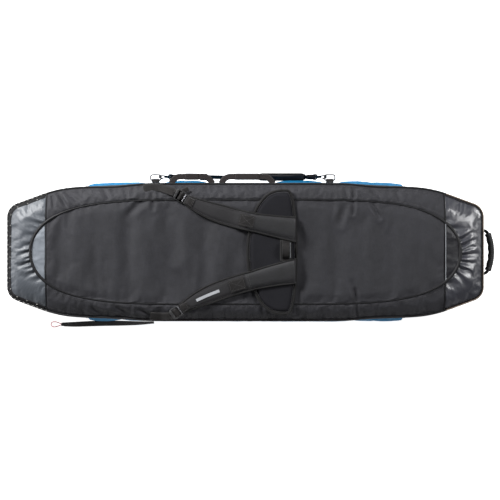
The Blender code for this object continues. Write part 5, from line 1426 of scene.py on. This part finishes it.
def sliders():
    for letter in ("a", "b"):
        refine(f"zip_slider_{letter}", "metal", 0.0005, 2)
        refine(f"zip_pull_{letter}", "metal", 0.0004, 2)


def tail_strap():
    # the strap's middle and its roll in degrees
    rows = np.array([
        (-0.285, -0.2192, 0.0470, 14), (-0.325, -0.2216, 0.0400, 25), (-0.365, -0.2224, 0.0300, 34),
        (-0.405, -0.2228, 0.0190, 40), (-0.450, -0.2234, 0.0124, 42), (-0.495, -0.2250, 0.0116, 42),
        (-0.535, -0.2268, 0.0114, 38), (-0.565, -0.2270, 0.0120, 30), (-0.570, -0.2270, 0.0120, 28),
    ])
    want = np.linspace(rows[0, 0], rows[-1, 0], 76)
    eased = [np.interp(-want, -rows[:, 0], rows[:, k]) for k in range(4)]
    eased = np.array([want, *[np.convolve(np.pad(c, 4, "edge"), np.ones(9) / 9, "valid") for c in eased[1:]]])
    roll = np.radians(eased[3])
    path = eased[:3].T
    across = np.stack([0 * roll, np.sin(roll), np.cos(roll)], axis=1)
    normal = np.stack([0 * roll, -np.cos(roll), np.sin(roll)], axis=1)
    swept("tail_strap_webbing", path, across, normal, tape(0.0262, 0.0018), "webbing", "front_shell",
          ("tail_strap",))
    box = [(path[2:8] + across[2:8] * k + normal[2:8] * 0.0010, normal[2:8]) for k in (-0.009, 0.009)]
    hem = [(path[i] + np.linspace(-0.010, 0.010, 6)[:, None] * across[i] + normal[i] * 0.0010, normal[i])
           for i in (2, 8, -4, -7)]
    stitches("tail_strap_stitches", box + hem, "thread", "front_shell")
    refine("tail_knot", "plastic", 0.0012, 3)
    route = []
    start_x, y0 = -0.5798, -0.2270
    for i in range(23):
        a = 2 * math.pi * i / 22
        route.append((start_x - 0.031 * math.sin(a / 2), y0 + 0.007 * math.sin(a) + 0.0017 * math.cos(a / 2),
                      0.0016))
    curve = bpy.data.curves.new("pull_loop_cord", "CURVE")
    curve.dimensions, curve.bevel_depth, curve.bevel_resolution, curve.use_fill_caps = "3D", 0.0012, 4, True
    spline = curve.splines.new("POLY")
    spline.points.add(len(route) - 1)
    for point, place in zip(spline.points, route):
        point.co = (*place, 1.0)
    curve.materials.append(PAINTS["red"])
    loop = put("pull_loop_cord", curve)
    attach(loop, "front_shell")
    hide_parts("pull_loop")


def tie_down():
    z = 0.0092
    for side, low, high in (("hinge_side", -0.190, -0.003), ("handle_side", 0.003, 0.190)):
        y = np.linspace(low, high, 50)
        path = np.stack([np.full_like(y, -0.10), y, z + 0.0001 * np.sin(y * 80)], axis=1)
        flat_strap(f"tie_strap_{side}_webbing", path, 0.0248, 0.0015, "webbing", "front_shell",
                   (f"tie_strap_{side}",))
    refine("tie_socket", "plastic", 0.0009, 3)
    refine("tie_plug", "plastic", 0.0007, 3)


# ---- Stage ----
def stage():
    reach = 60.0
    mesh = bpy.data.meshes.new("floor")
    mesh.from_pydata([(x * reach, y * reach, 0) for x, y in ((-1, -1), (1, -1), (1, 1), (-1, 1))], [],
                     [(0, 1, 2, 3)])
    floor = put("floor", mesh)
    floor.location.z = -0.0004
    pale = bpy.data.materials.new("floor_pale")
    pale.use_nodes = True
    shader = pale.node_tree.nodes["Principled BSDF"]
    shader.inputs["Base Color"].default_value = (0.90, 0.90, 0.90, 1)
    shader.inputs["Roughness"].default_value = 0.85
    shader.inputs["Emission Color"].default_value = (1, 1, 1, 1)
    shader.inputs["Emission Strength"].default_value = 0.95
    mesh.materials.append(pale)
    world = bpy.data.worlds.new("studio")
    bpy.context.scene.world = world
    world.use_nodes = True
    world.node_tree.nodes["Background"].inputs["Color"].default_value = (1, 1, 1, 1)
    world.node_tree.nodes["Background"].inputs["Strength"].default_value = 0.07
    for name, place, size, power in (("key", (-1.9, 1.7, 1.6), 0.7, 150), ("fill", (2.0, 0.70, 1.7), 0.7, 52),
                                     ("top", (0.0, 0.3, 3.6), 2.4, 10), ("rake", (-2.6, 0.4, 0.80), 0.5, 26)):
        data = bpy.data.lights.new(name, "AREA")
        data.shape, data.size, data.energy = "SQUARE", size, power
        lamp = put(name, data)
        lamp.location = place
        lamp.rotation_euler = (Vector((0, 0, 0.1)) - Vector(place)).to_track_quat("-Z", "Y").to_euler()
    bpy.context.scene.view_settings.view_transform = "Standard"


tail_strap()
front_panel()
front_walls()
zip_halves()
hinge_web()
PANELS = back_panels()
seams(PANELS)
edge_trim(PANELS)
back_lining()
harness()
carry_handles()
carry_strap()
grab_handle()
sliders()
tie_down()
stage()
